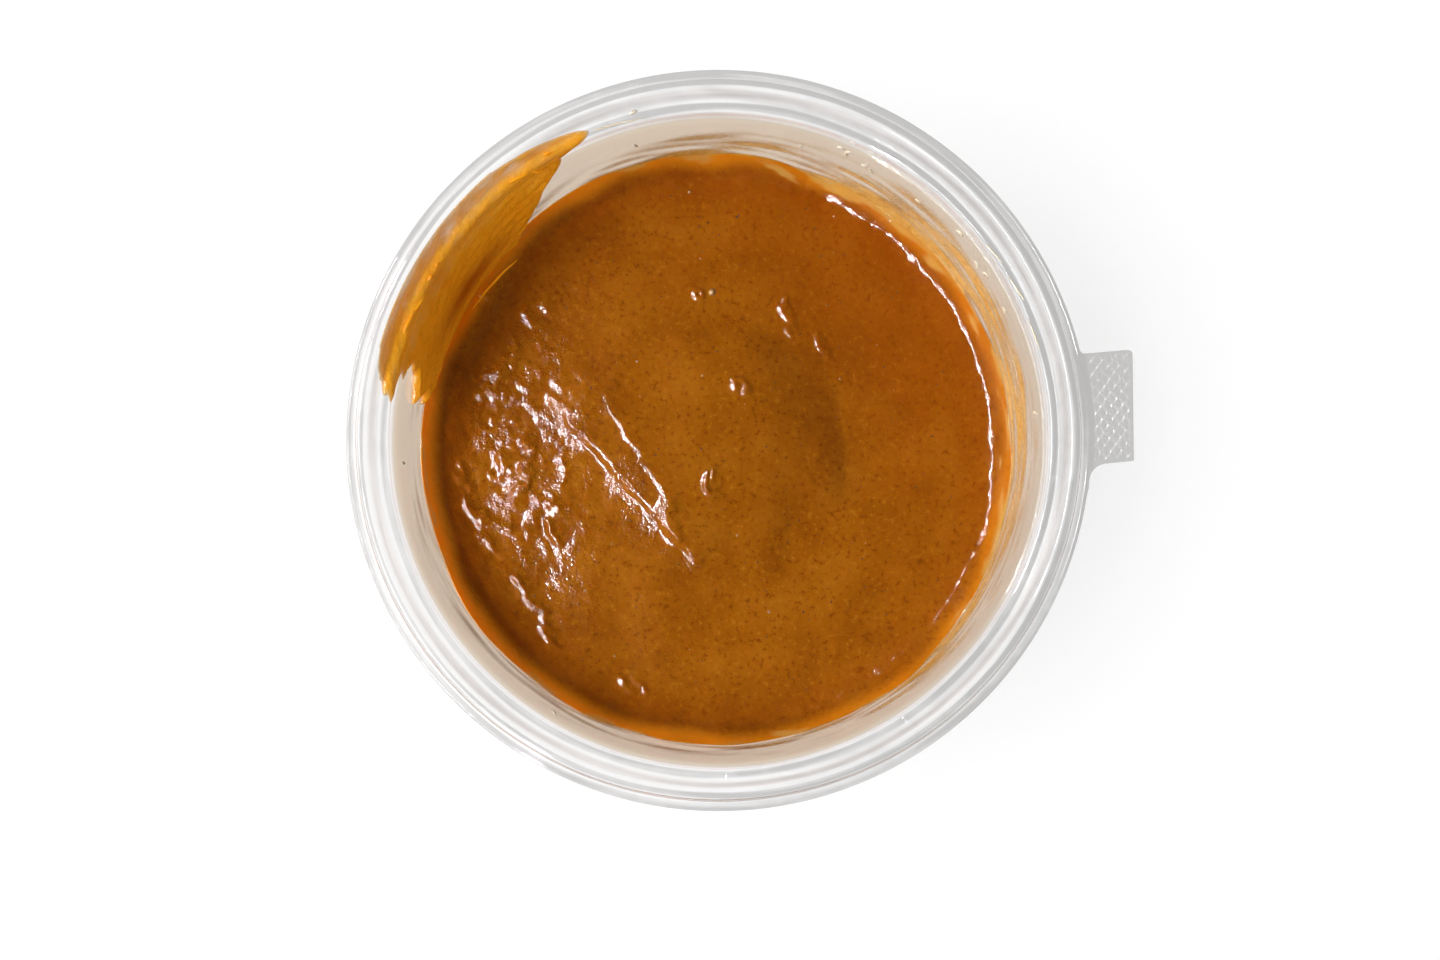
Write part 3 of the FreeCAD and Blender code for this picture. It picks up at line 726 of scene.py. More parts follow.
def make_smear(settings):
    """The tongue of sauce up the wall: front and back sheets over a grid of width share by height share.

    Each row runs between the measured edges, made ragged at the lower left. The front stands off the
    smoothed skin by a thickness that is blunt at the edges, thins upwards and carries folds along
    the wall.
    """
    even, raw, smooth, inward = skin_path()
    rows, columns = settings.cells_up, settings.cells_round
    top = even[-1] - 1.0
    up = np.linspace(0.0, 1.0, rows)[:, None] * top
    across = np.linspace(0.0, 1.0, columns)[None, :]

    def at_rows(values):
        return np.stack([np.interp(up[:, 0], even, values[:, i]) for i in range(2)], axis=-1)

    place, hold, facing = at_rows(smooth), at_rows(raw), at_rows(inward)
    heights, right_edge, left_edge = zip(*SMEAR_SIDES)
    right = np.interp(place[:, 1], heights, right_edge)[:, None]
    left = np.interp(place[:, 1], heights, left_edge)[:, None]
    climb = spread(up[:, 0], 0.0, 0.0)
    left = left + (2.4 * waves(climb, (4.0, 11.0), 14, 21) * eased((up[:, 0] - 7.0) / 4.0))[:, None]
    left = left + (0.7 * waves(climb, (0.8, 2.4), 14, 25))[:, None]
    right = right + (0.35 * waves(climb, (2.0, 6.0), 12, 22))[:, None]
    degrees = right + (left - right) * across

    edge = np.minimum(across, 1.0 - across) * (left - right) * math.radians(52.0)
    blunt = np.sqrt(np.clip(edge / 1.5, 0.0, 1.0))
    share = up / top
    from_start = eased(up / 1.2)
    from_brim = np.sqrt(np.clip((top - up) / 1.6, 0.0, 1.0))
    along = spread(up, degrees * 0.16 + up * 0.25, 0.0)
    folds = waves(along, (5.0, 12.0), 20, 23)
    fine = waves(along * [1.0, 3.0, 1.0], (0.9, 3.4), 30, 24)
    body = 0.35 + 0.85 * bell(share - 0.40, 0.22) + 0.25 * bell(share - 0.1, 0.12)
    thick = body * (1.0 + 0.2 * folds) + 0.05 * fine
    thick *= blunt * (0.35 + 0.65 * from_brim) * (0.4 + 0.6 * from_start)
    thick = np.maximum(thick, 0.04) * (settings.thickness / (THICKEST * MM))

    bridge = np.clip(thick, 0.0, 1.0)
    base_r = hold[:, None, 0] + (place[:, None, 0] - hold[:, None, 0]) * bridge
    base_z = hold[:, None, 1] + (place[:, None, 1] - hold[:, None, 1]) * bridge
    front = polar(base_r + facing[:, None, 0] * thick, degrees, base_z + facing[:, None, 1] * thick)
    # Half as deep in the plastic as the sauce, so that the sauce hides the smear's lower end.
    back_r = hold[:, None, 0] - facing[:, None, 0] * 0.5 * INTO_PLASTIC
    back_z = hold[:, None, 1] - facing[:, None, 1] * 0.5 * INTO_PLASTIC
    back = polar(back_r, degrees, back_z + np.zeros_like(degrees))
    points = np.concatenate([front.reshape(-1, 3), back.reshape(-1, 3)])
    faces = sheet_faces(rows, columns)
    material = smear_material(settings)
    smear = new_piece("wall_smear_tongue", points, faces, material, "wall_smear")
    cover = np.clip(thick / 0.5, 0.0, 1.0)
    turn = np.broadcast_to(degrees, cover.shape)
    on_ledge = bell(place[:, None, 0] - LEDGE_R - 0.15 * folds, 1.15)
    on_ledge = on_ledge * bell(turn_between(turn, THIN_LEDGE_DEGREES), 22.0)
    cover = cover * (1.0 - 0.4 * on_ledge)
    # Painted shade, low in the middle of the smear where it is thickest.
    deep = bell(share - 0.36 - 0.05 * folds, 0.15) * bell(across - 0.45, 0.3)
    paint_both_sides(smear, "deep", deep)
    paint_both_sides(smear, "cover", cover)
    paint_both_sides(smear, "broken", np.full(cover.shape, 0.9))
    return smear


# Height that the thin film reaches on the wall, and how dense it is, by azimuth.
FILM_TOP = ((0, 36.0), (25, 36.2), (60, 36.2), (80, 35.0), (100, 34.4), (117, 31.6), (150, 28.0), (175, 32.0),
            (205, 34.8), (240, 34.6), (270, 34.4), (300, 34.2), (330, 34.2))
FILM_DENSITY = ((0, 1.0), (30, 1.0), (60, 0.95), (90, 0.75), (110, 0.5), (150, 0.3), (180, 0.35),
                (215, 0.32), (250, 0.4), (290, 0.6), (330, 0.9))


FILM_STARTS_BELOW = 0.7  # how far under the sauce's edge the film starts
FILM_INTO_PLASTIC = 0.05
FILM_THINNEST = 0.02
FILM_THICKENS = 0.06  # what the densest film adds to that


def make_film(settings):
    """The thin film left on the wall: a closed band from just under the sauce's edge up to an uneven top."""
    columns, rows = settings.columns, settings.rows
    degrees = np.arange(columns) * (360.0 / columns)
    _, edge_z = sauce_edge(degrees)
    ring = polar(40.0, degrees, 0.0)
    top = round_the_tub(degrees, FILM_TOP) + 0.5 * waves(ring, (3.0, 12.0), 20, 31)
    top = np.maximum(top, edge_z + 1.5)
    share = np.linspace(0.0, 1.0, rows)[:, None]
    z = (edge_z - FILM_STARTS_BELOW) + (top - edge_z + FILM_STARTS_BELOW) * share
    back = polar(wall_radius(z) + FILM_INTO_PLASTIC, degrees, z)
    streaks = waves(back * [1.0, 1.0, 9.0], (9.0, 40.0), 30, 32)
    dense = round_the_tub(degrees, FILM_DENSITY) * (1.0 - 0.8 * share**0.8)
    dense = dense * (1.0 + 0.4 * streaks) + 0.08 * streaks
    dense = np.clip(dense, 0.0, 1.0) * eased((1.0 - share) / 0.3)
    thick = FILM_THINNEST + FILM_THICKENS * dense
    front = polar(wall_radius(z) - thick, degrees, z)
    points = np.concatenate([front.reshape(-1, 3), back.reshape(-1, 3)])
    faces = band_faces(rows, columns)
    film = new_piece("wall_film", points, faces, film_material(settings))
    paint_both_sides(film, "cover", dense)
    paint_both_sides(film, "broken", np.ones(dense.shape))
    return film


# Bent pale ridges on the wall that stand in for glints, as painted highlights: azimuth, height and length in
# mm, first heading and bend in degrees.
PAINTED_HIGHLIGHT_HOOKS = (
    (65.5, 34.2, 2.4, 20, 150), (63.0, 33.6, 1.6, 190, -120), (68.0, 35.4, 2.0, 80, 170),
    (60.0, 32.8, 1.5, 10, 80), (25.5, 33.6, 2.0, 100, 190), (31.0, 34.2, 2.6, 60, -200),
    (35.5, 33.6, 2.2, 140, 160), (41.0, 34.8, 2.6, 30, 210), (5.0, 33.8, 2.2, 70, 60),
    (105.0, 31.8, 1.6, 20, 90), (75.0, 32.4, 1.4, 200, 100), (50.0, 33.2, 1.4, 90, -150),
    (184.0, 33.0, 1.6, 80, 40), (238.0, 33.5, 1.8, 10, 70),
)
# Drops and thin tails on the ledge: start and end as (azimuth, radius, height), and half the thickness.
DROPS = (
    ((112.5, 52.95, 40.72), (103.2, 52.35, 40.70), 0.2),
    ((105.4, 53.6, 40.95), (103.9, 53.8, 41.05), 0.3), ((36.0, 52.4, 40.66), (31.5, 52.9, 40.68), 0.2),
    ((29.0, 52.6, 40.66), (24.0, 53.1, 40.70), 0.22), ((21.0, 52.5, 40.66), (15.0, 52.7, 40.68), 0.16),
)
# The same for the beads on the smear where it crosses the rim.
SMEAR_BEADS = (
    ((129.4, 52.5, 41.05), (125.6, 51.9, 40.3), 0.3), ((124.8, 51.7, 39.9), (122.6, 51.0, 38.2), 0.26),
    ((121.8, 52.9, 41.1), (120.3, 52.7, 41.0), 0.22), ((161.6, 52.5, 41.1), (157.9, 52.2, 40.8), 0.34),
    ((157.3, 52.15, 40.75), (154.6, 51.8, 40.2), 0.24), ((151.6, 52.3, 40.95), (150.4, 52.2, 40.9), 0.3),
    ((148.9, 52.4, 41.0), (147.9, 52.3, 40.9), 0.26),
)


def bead_points(path, thickness, around=8):
    """Rings round a path, swollen in the middle.

    Their radius is the thickness times the square root of the sine of half a turn of the path.
    """
    count = len(path)
    share = np.linspace(0.0, 1.0, count)
    swell = thickness * np.sqrt(np.sin(np.pi * np.clip(share, 0.004, 0.996)))
    ahead = np.gradient(path, axis=0)
    ahead /= np.linalg.norm(ahead, axis=1, keepdims=True)
    outwards = path * [1.0, 1.0, 0.0]
    outwards /= np.linalg.norm(outwards, axis=1, keepdims=True)
    beside = np.cross(ahead, outwards)
    beside /= np.linalg.norm(beside, axis=1, keepdims=True)
    above = np.cross(beside, ahead)
    turn = np.arange(around) * (2.0 * np.pi / around)
    ring = np.cos(turn)[None, :, None] * beside[:, None] + np.sin(turn)[None, :, None] * above[:, None]
    return path[:, None] + ring * swell[:, None, None]


HOOKS_R = 50.0  # radius of the wall about where the hooks are
HOOKS_STAND_OFF = 0.02


def straight_paths(rows, along):
    """Paths from the start to the end of each row, evenly in azimuth, radius and height."""
    paths = []
    for start, end, thickness in rows:
        azimuth, radius, height = (a + (b - a) * along for a, b in zip(start, end))
        paths.append((polar(radius, azimuth, height), thickness))
    return paths


def make_drips(settings):
    """Painted highlight ridges on the wall and drops of film on the ledge: closed beads of rings, with a pole
    at each end.
    """
    along = np.linspace(0.0, 1.0, settings.steps)
    paths = []
    for azimuth, z, size, heading, bend in PAINTED_HIGHLIGHT_HOOKS:
        angle = np.radians(heading + bend * along)
        sideways = np.cumsum(np.cos(angle)) * size / settings.steps
        height = z + np.cumsum(np.sin(angle)) * size / settings.steps
        turned = azimuth + np.degrees(sideways / HOOKS_R)
        paths.append((polar(wall_radius(height) - HOOKS_STAND_OFF, turned, height), settings.ridge / MM))
    paths += straight_paths(DROPS, along)
    return string_of_beads("film_drips_and_painted_glints", paths, film_and_glint_material(settings))


def string_of_beads(name, paths, material):
    """One piece of closed beads, each a stack of rings with a pole at each end."""
    points, faces, first = [], [], 0
    for path, thickness in paths:
        rings = bead_points(path, thickness)
        body = np.concatenate([path[:1], rings.reshape(-1, 3), path[-1:]])
        faces += [tuple(first + i for i in reversed(face)) for face in round_faces(*rings.shape[:2])]
        points.append(body)
        first += len(body)
    return new_piece(name, np.concatenate(points), faces, material)


def make_smear_beads(settings):
    """Wet beads on the smear at the rim, and one along the crest of the bead beside the smear."""
    along = np.linspace(0.0, 1.0, 20)
    paths = straight_paths(SMEAR_BEADS, along)
    crest = polar(46.5 - along, 150.7 - 14.1 * along, 0.0)
    crest[:, 2] = sauce_height(crest[:, 0], crest[:, 1]) + 0.05
    paths.append((crest, 0.2))
    beads = string_of_beads("smear_beads", paths, smear_material(settings))
    for name, value in (("cover", 1.0), ("deep", 0.0), ("broken", 0.0)):
        paint(beads, name, np.full(len(beads.data.vertices), value))
    return beads


# ---------------------------------------------------------------- specks


def scattered(name, places, sizes, flatness, seed, material):
    """Many small flakes in one mesh, each a squashed six-sided double cone, turned and stretched."""
    draw = np.random.default_rng(seed)
    count = len(sizes)
    around = np.linspace(0.0, 2.0 * np.pi, 6, endpoint=False)
    ring = spread(np.cos(around), np.sin(around), 0.0)
    shape = np.concatenate([ring, [[0.0, 0.0, flatness], [0.0, 0.0, -flatness]]])
    stretch = draw.uniform(0.55, 1.0, (count, 1))
    turn = draw.uniform(0.0, 2.0 * np.pi, (count, 1))
    x = shape[None, :, 0] * sizes[:, None]
    y = shape[None, :, 1] * sizes[:, None] * stretch
    across = x * np.cos(turn) - y * np.sin(turn)
    along = x * np.sin(turn) + y * np.cos(turn)
    points = spread(across, along, shape[None, :, 2] * sizes[:, None])
    points += places[:, None, :]
    i = np.arange(6)
    beside = (i + 1) % 6
    upper = np.stack([i, beside, np.full(6, 6)], axis=-1)
    lower = np.stack([beside, i, np.full(6, 7)], axis=-1)
    faces = np.concatenate([upper, lower])[None] + 8 * np.arange(count)[:, None, None]
    faces = faces.reshape(-1, 3).tolist()
    return new_piece(name, points.reshape(-1, 3), faces, material)


BIG_CRUMB_AT = (-1.1, 26.0)  # beside the bubble
BIG_CRUMB_R = 0.75


def make_specks(settings):
    """Dark specks of spice over the sauce, sunk to their middles, and a few pale crumbs of almond."""
    draw = np.random.default_rng(41)
    reach = (FILL_R - 1.5) * np.sqrt(draw.uniform(0.0, 1.0, settings.dark_count))
    place = polar(reach, draw.uniform(0.0, 360.0, settings.dark_count), 0.0)
    place[:, 2] = sauce_height(place[None, :, 0], place[None, :, 1])[0]
    sizes = 0.055 + 0.13 * draw.uniform(0.0, 1.0, settings.dark_count) ** 3
    scattered("spice_specks", place, sizes, 0.35, 42, speck_material(settings))
    count = settings.pale_count
    reach = (FILL_R - 3.0) * np.sqrt(draw.uniform(0.0, 1.0, count))
    place = polar(reach, draw.uniform(0.0, 360.0, count), 0.0)
    place[0, :2] = BIG_CRUMB_AT
    place[:, 2] = sauce_height(place[None, :, 0], place[None, :, 1])[0]
    sizes = draw.uniform(0.12, 0.3, count)
    sizes[0] = BIG_CRUMB_R
    return scattered("almond_crumbs", place, sizes, 0.45, 43, crumb_material(settings))


# ---------------------------------------------------------------- materials


def rgba(colour):
    """A colour with full opacity."""
    return (*colour, 1.0)


def fill_in(tree, node, **values):
    """Sets a node's properties and inputs by name, where a value may be another node's output."""
    for name, value in values.items():
        if hasattr(node, name):
            setattr(node, name, value)
            continue
        socket = node.inputs[name.replace("_", " ")]
        connect(tree, value, socket)
    return node


def connect(tree, value, socket):
    """Links another node's output to a socket, or sets the socket to a plain number or colour."""
    if isinstance(value, bpy.types.NodeSocket):
        tree.links.new(value, socket)
    else:
        socket.default_value = rgba(value) if socket.type == "RGBA" else value


def add_node(tree, kind, **values):
    """A node of a kind, filled in."""
    return fill_in(tree, tree.nodes.new(kind), **values)


def blank_material(name):
    """A new material with an empty node tree, and that tree."""
    material = bpy.data.materials.new(name)
    material.use_nodes = True
    material.node_tree.nodes.clear()
    return material, material.node_tree


def end_with(tree, shader):
    """Ends a material with this shader."""
    add_node(tree, "ShaderNodeOutputMaterial", Surface=shader)


def calculated(tree, operation, *sources):
    """The result of one step of arithmetic on outputs or numbers."""
    node = add_node(tree, "ShaderNodeMath", operation=operation)
    for socket, source in zip(node.inputs, sources):
        connect(tree, source, socket)
    return node.outputs["Value"]


def greatest(tree, first, *others):
    """The greatest of several outputs."""
    for other in others:
        first = calculated(tree, "MAXIMUM", first, other)
    return first


def mixed(tree, factor, first, second, kind="RGBA"):
    """Passes from the first colour or number to the second as the factor goes from 0 to 1."""
    node = add_node(tree, "ShaderNodeMix", data_type=kind, Factor=factor, A=first, B=second)
    return node.outputs["Result"]


def ranged(tree, source, kind="SMOOTHSTEP", **ends):
    """A number carried from one range to another, each 0 to 1 unless its ends are given."""
    node = add_node(tree, "ShaderNodeMapRange", interpolation_type=kind, Value=source, **ends)
    return node.outputs["Result"]


def stored(tree, name):
    """A number painted on the piece's points."""
    return add_node(tree, "ShaderNodeAttribute", attribute_name=name).outputs["Fac"]


def noise(tree, scale, **values):
    """Soft noise in the piece's own coordinates."""
    place = add_node(tree, "ShaderNodeTexCoord").outputs["Object"]
    return add_node(tree, "ShaderNodeTexNoise", Vector=place, Scale=scale, **values).outputs["Fac"]


def bumps(tree, height, strength, distance):
    """The normal of a surface with these bumps."""
    node = add_node(tree, "ShaderNodeBump", Strength=strength, Distance=distance, Height=height)
    return node.outputs["Normal"]


def tinted(tree, attribute, first, second):
    """A colour that passes from the first to the second as a painted number goes from 0 to 1."""
    return mixed(tree, stored(tree, attribute), first, second)


def new_group(name, inputs, outputs):
    """An empty node group with these named sockets, and its two end nodes."""
    group = bpy.data.node_groups.new(name, "ShaderNodeTree")
    for label, kind in inputs:
        group.interface.new_socket(name=label, in_out="INPUT", socket_type=kind)
    for label, kind in outputs:
        group.interface.new_socket(name=label, in_out="OUTPUT", socket_type=kind)
    return group, group.nodes.new("NodeGroupInput"), group.nodes.new("NodeGroupOutput")


SAUCE_IOR = 1.42
BUMP_HEIGHT = 0.0007
# Sizes of the noises, as waves per metre: wide swirls, bumps under the grain, the grain, and the finest.
SWIRL_SCALE, COARSE_SCALE, GRAIN_SCALE, FINE_SCALE = 90.0, 420.0, 1100.0, 2600.0
SWIRL_STRENGTH, PALE_GRAIN_STRENGTH, DARK_GRAIN_STRENGTH = 0.42, 0.7, 0.8
COARSE_BUMPS, FINE_BUMPS, GRAIN_BUMPS = 0.25, 0.4, 0.75


def stirred_sauce_group():
    """Colour and bumps of ground-nut sauce: slow swirls of two tones under fine pale and dark grains."""
    name = "Stirred sauce"
    if name in bpy.data.node_groups:
        return bpy.data.node_groups[name]
    tone_socket, number_socket = "NodeSocketColor", "NodeSocketFloat"
    group, given, out = new_group(
        name,
        [("Base", tone_socket), ("Pale", tone_socket), ("Dark", tone_socket), ("Grain", number_socket)],
        [("Color", tone_socket), ("Height", number_socket)],
    )
    base, pale, dark, grain_share = (given.outputs[label] for label in ("Base", "Pale", "Dark", "Grain"))

    def share_from(texture, start, full, *strengths):
        """How much of a tone shows, from none to full between two values of a texture."""
        share = ranged(group, texture, From_Min=start, From_Max=full)
        for strength in strengths:
            share = calculated(group, "MULTIPLY", share, strength)
        return share

    swirl = noise(group, SWIRL_SCALE, Detail=5.0, Roughness=0.65)
    grain = noise(group, GRAIN_SCALE, Detail=2.0, Roughness=0.6)
    coarse = noise(group, COARSE_SCALE, Detail=3.0, Roughness=0.6)
    fine = noise(group, FINE_SCALE, Detail=1.0, Roughness=0.5)
    toned = mixed(group, share_from(swirl, 0.46, 0.68, SWIRL_STRENGTH), base, pale)
    toned = mixed(group, share_from(swirl, 0.52, 0.32, SWIRL_STRENGTH), toned, dark)
    toned = mixed(group, share_from(grain, 0.56, 0.74, grain_share, PALE_GRAIN_STRENGTH), toned, pale)
    toned = mixed(group, share_from(grain, 0.46, 0.28, grain_share, DARK_GRAIN_STRENGTH), toned, dark)
    height = calculated(group, "MULTIPLY", fine, FINE_BUMPS)
    height = calculated(group, "MULTIPLY_ADD", coarse, COARSE_BUMPS, height)
    height = calculated(group, "ADD", height, calculated(group, "MULTIPLY", grain, GRAIN_BUMPS))
    fill_in(group, out, Color=toned, Height=height)
    return group


def sauce_shader(tree, settings, grain):
    """The stirred-sauce group's colour, and a Principled shader with the group's bumps."""
    group = add_node(
        tree, "ShaderNodeGroup", node_tree=stirred_sauce_group(),
        Base=settings.base, Pale=settings.pale, Dark=settings.dark, Grain=grain,
    )
    height = calculated(tree, "MULTIPLY", group.outputs["Height"], stored(tree, "broken"))
    shader = add_node(
        tree, "ShaderNodeBsdfPrincipled", Roughness=settings.roughness, IOR=SAUCE_IOR,
        Normal=bumps(tree, height, settings.bump, BUMP_HEIGHT),
    )
    return group.outputs["Color"], shader


def sauce_material(settings):
    """Wet almond sauce: light scatters a little way in, the thin edge at the wall turns amber and glows with
    painted light, and painted shade darkens the hollow before the wall and the far side.
    """
    material, tree = blank_material("Wet almond sauce")
    tone, shader = sauce_shader(tree, settings, grain=1.0)
    for place, other in (("deep", settings.deep), ("thin", settings.amber), ("filmy", settings.film)):
        tone = tinted(tree, place, tone, other)
    # The thin edge's glow is painted light, an emission standing in for the lamp shining through the wall.
    fill_in(
        tree, shader, Base_Color=tone,
        Emission_Color=tinted(tree, "thin", (0.0, 0.0, 0.0), settings.amber), Emission_Strength=settings.glow,
        Subsurface_Weight=0.5, Subsurface_Radius=(1.0, 0.45, 0.08), Subsurface_Scale=0.0014,
    )
    end_with(tree, shader.outputs["BSDF"])
    return material


def smear_material(settings):
    """Smeared sauce: amber and clearer where thin, deep brown where thick as painted shade, with a painted
    glow for the lamp shining through it from behind.
    """
    material, tree = blank_material("Smeared almond sauce")
    tone, shader = sauce_shader(tree, settings, grain=0.5)
    tone = tinted(tree, "cover", settings.amber, tone)
    tone = tinted(tree, "deep", tone, settings.deep)
    fill_in(
        tree, shader, Base_Color=tone, Emission_Color=tone, Emission_Strength=settings.glow,
        Alpha=ranged(tree, stored(tree, "cover"), From_Max=0.9, To_Min=0.4),
        Subsurface_Weight=0.3, Subsurface_Radius=(1.0, 0.5, 0.1), Subsurface_Scale=0.0015,
    )
    end_with(tree, shader.outputs["BSDF"])
    return material


def film_material(settings):
    """A thin streaky film: honey-coloured, and clear where the film has run off."""
    material, tree = blank_material("Film of sauce")
    tone, shader = sauce_shader(tree, settings, grain=0.4)
    fill_in(
        tree, shader, Base_Color=tinted(tree, "cover", settings.pale, tone),
        Alpha=ranged(tree, stored(tree, "cover"), From_Max=1.15),
    )
    end_with(tree, shader.outputs["BSDF"])
    return material


def mottled(name, scale, first, second, **finish):
    """A material whose colour wanders between two with noise of a scale."""
    material, tree = blank_material(name)
    tone = mixed(tree, noise(tree, scale), first, second)
    shader = add_node(tree, "ShaderNodeBsdfPrincipled", Base_Color=tone, **finish)
    end_with(tree, shader.outputs["BSDF"])
    return material


def film_and_glint_material(settings):
    """Greasy clear film, faintly yellow, with a wet sheen; its pale colour also makes the painted highlights
    on the wall.
    """
    clear, cloudy = settings.clear_colour, settings.cloudy_colour
    return mottled("Greasy film", 700.0, clear, cloudy, Roughness=0.16, IOR=SAUCE_IOR)


def speck_material(settings):
    """Specks of spice, near black to brown."""
    return mottled("Dark spice", 300.0, settings.dark_colour, settings.brown_colour, Roughness=0.4)


CRUMB_SOAKED = (0.45, 0.17, 0.02)


def crumb_material(settings):
    """Crumbs of almond, pale to the brown of the sauce that they soak up."""
    return mottled("Almond crumb", 900.0, settings.crumb_colour, CRUMB_SOAKED, Roughness=0.3)


PLASTIC_IOR = 1.45
TAB_ROUGHNESS = 0.22
FLOW_SCALE = 160.0
TRAPPED_AFTER = 4.5  # turns of a ray after which it counts as trapped in the sheet and is let out


def clear_plastic(settings):
    """Clear formed sheet: a tint painted in bands of light and shade, a painted reflection of the sauce on
    the wall, a hazier tab and faint flow lines.

    Lamps and mirror images pass straight through it, and light that keeps turning inside the sheet
    is let out, so that steep walls don't go black.
    """
    material, tree = blank_material("Clear formed plastic")
    tint = tinted(tree, "painted_rim_shading", settings.tint, settings.clear_tint)
    flow = noise(tree, FLOW_SCALE, Detail=2.0)
    rough = ranged(tree, stored(tree, "tab"), "LINEAR", To_Min=settings.roughness, To_Max=TAB_ROUGHNESS)
    shader = add_node(
        tree, "ShaderNodeBsdfPrincipled", Base_Color=tinted(tree, "wall", tint, settings.wall_tint),
        Roughness=rough, IOR=PLASTIC_IOR, Transmission_Weight=0.9, Coat_Weight=0.2, Coat_Roughness=0.18,
        Normal=bumps(tree, flow, 0.12, 0.0002),
    )
    path = add_node(tree, "ShaderNodeLightPath").outputs
    trapped = calculated(tree, "GREATER_THAN", path["Ray Depth"], TRAPPED_AFTER)
    passes = greatest(tree, trapped, path["Is Shadow Ray"], path["Is Diffuse Ray"], path["Is Glossy Ray"])
    through = add_node(tree, "ShaderNodeBsdfTransparent", Color=(0.96, 0.96, 0.96))
    either = add_node(tree, "ShaderNodeMixShader", Fac=passes)
    tree.links.new(shader.outputs["BSDF"], either.inputs[1])
    tree.links.new(through.outputs["BSDF"], either.inputs[2])
    end_with(tree, either.outputs["Shader"])
    return material


def seen_directly(tree):
    """One for camera, mirror and see-through rays, and zero for light that falls on things."""
    path = add_node(tree, "ShaderNodeLightPath").outputs
    return greatest(tree, path["Is Camera Ray"], path["Is Glossy Ray"], path["Is Transmission Ray"])


def floor_material(settings):
    """A plain pale floor: diffuse, with enough glow in direct view to be white where no shadow falls."""
    material, tree = blank_material("Pale floor")
    matt = add_node(tree, "ShaderNodeBsdfDiffuse", Color=(settings.floor_colour,) * 3)
    pale = (settings.floor_glow,) * 3
    glow = add_node(tree, "ShaderNodeEmission", Color=pale, Strength=seen_directly(tree))
    both = add_node(tree, "ShaderNodeAddShader")
    tree.links.new(matt.outputs["BSDF"], both.inputs[0])
    tree.links.new(glow.outputs["Emission"], both.inputs[1])
    end_with(tree, both.outputs["Shader"])
    return material


# ---------------------------------------------------------------- stage


def set_world(settings):
    """Plain surroundings: white to the camera and through plastic, dim in mirrors, soft on matt things."""
    world = bpy.data.worlds.new("Studio")
    bpy.context.scene.world = world
    world.use_nodes = True
    tree = world.node_tree
    tree.nodes.clear()
    path = add_node(tree, "ShaderNodeLightPath").outputs
    seen = greatest(tree, path["Is Camera Ray"], path["Is Transmission Ray"])
    place = add_node(tree, "ShaderNodeTexCoord").outputs["Generated"]
    upwards = add_node(tree, "ShaderNodeSeparateXYZ", Vector=place).outputs["Z"]
    wall, ceiling = settings.wall_level, settings.ceiling_level
    room = ranged(tree, upwards, From_Min=0.25, From_Max=0.8, To_Min=wall, To_Max=ceiling)
    mirrored = mixed(tree, path["Is Glossy Ray"], settings.ambient, room, "FLOAT")
    strength = mixed(tree, seen, mirrored, 1.0, "FLOAT")
    background = add_node(tree, "ShaderNodeBackground", Color=(1.0, 1.0, 1.0), Strength=strength)
    add_node(tree, "ShaderNodeOutputWorld", Surface=background.outputs["Background"])


def softbox(name, azimuth, elevation, distance, size, radiance, in_mirrors=True, on_matt=True):
    """A rectangular lamp aimed at the sauce. Its power is its radiance times pi times its area."""
    light = bpy.data.lights.new(name, "AREA")
    light.shape = "RECTANGLE"
    light.size, light.size_y = size
    light.energy = radiance * math.pi * size[0] * size[1]
    lamp = bpy.data.objects.new(name, light)
    aim = Vector((0.0, 0.0, FILL_LEVEL * MM))
    away = Vector((
        math.cos(elevation) * math.cos(azimuth),
        math.cos(elevation) * math.sin(azimuth),
        math.sin(elevation),
    ))
    lamp.location = aim + away * distance
    lamp.rotation_euler = away.to_track_quat("Z", "Y").to_euler()
    lamp.visible_glossy = in_mirrors
    lamp.visible_diffuse = on_matt
    bpy.context.scene.collection.objects.link(lamp)
    return lamp


def make_floor(settings):
    """A square floor at the foot's height."""
    half = settings.floor_size / 2.0
    mesh = bpy.data.meshes.new("floor")
    corners = [(-half, -half, 0.0), (half, -half, 0.0), (half, half, 0.0), (-half, half, 0.0)]
    mesh.from_pydata(corners, [], [(0, 1, 2, 3)])
    mesh.materials.append(floor_material(settings))
    floor = bpy.data.objects.new("floor", mesh)
    bpy.context.scene.collection.objects.link(floor)


SENSOR_W = 36.0
RIM_CENTRE_X = 0.00023  # in metres, as the camera's place is


def make_camera(settings):
    """A camera over the tub, leaned towards its front, level with the rim's centre."""
    data = bpy.data.cameras.new("camera")
    data.lens = settings.lens
    data.sensor_width = SENSOR_W
    data.clip_start = 0.01
    data.clip_end = 50.0
    camera = bpy.data.objects.new("camera", data)
    lean = settings.camera_lean
    rim = Vector((RIM_CENTRE_X, 0.0, LIP_Z * MM))
    camera.location = rim + settings.camera_distance * Vector((0.0, -math.sin(lean), math.cos(lean)))
    camera.rotation_euler = (lean - settings.camera_drop, 0.0, 0.0)
    bpy.context.scene.collection.objects.link(camera)
    bpy.context.scene.camera = camera


# ---------------------------------------------------------------- settings


def length(name, description, millimetres):
    """A length, given in millimetres."""
    return bpy.props.FloatProperty(
        name=name, description=description, default=millimetres * MM, min=0.0, precision=5, unit="LENGTH"
    )


def share_of_one(name, description, default):
    """A share from 0 to 1."""
    return bpy.props.FloatProperty(
        name=name, description=description, default=default, min=0.0, max=1.0, subtype="FACTOR"
    )


def amount(name, description, default, low=1):
    """A whole number, no lower than the lowest."""
    return bpy.props.IntProperty(name=name, description=description, default=default, min=low)


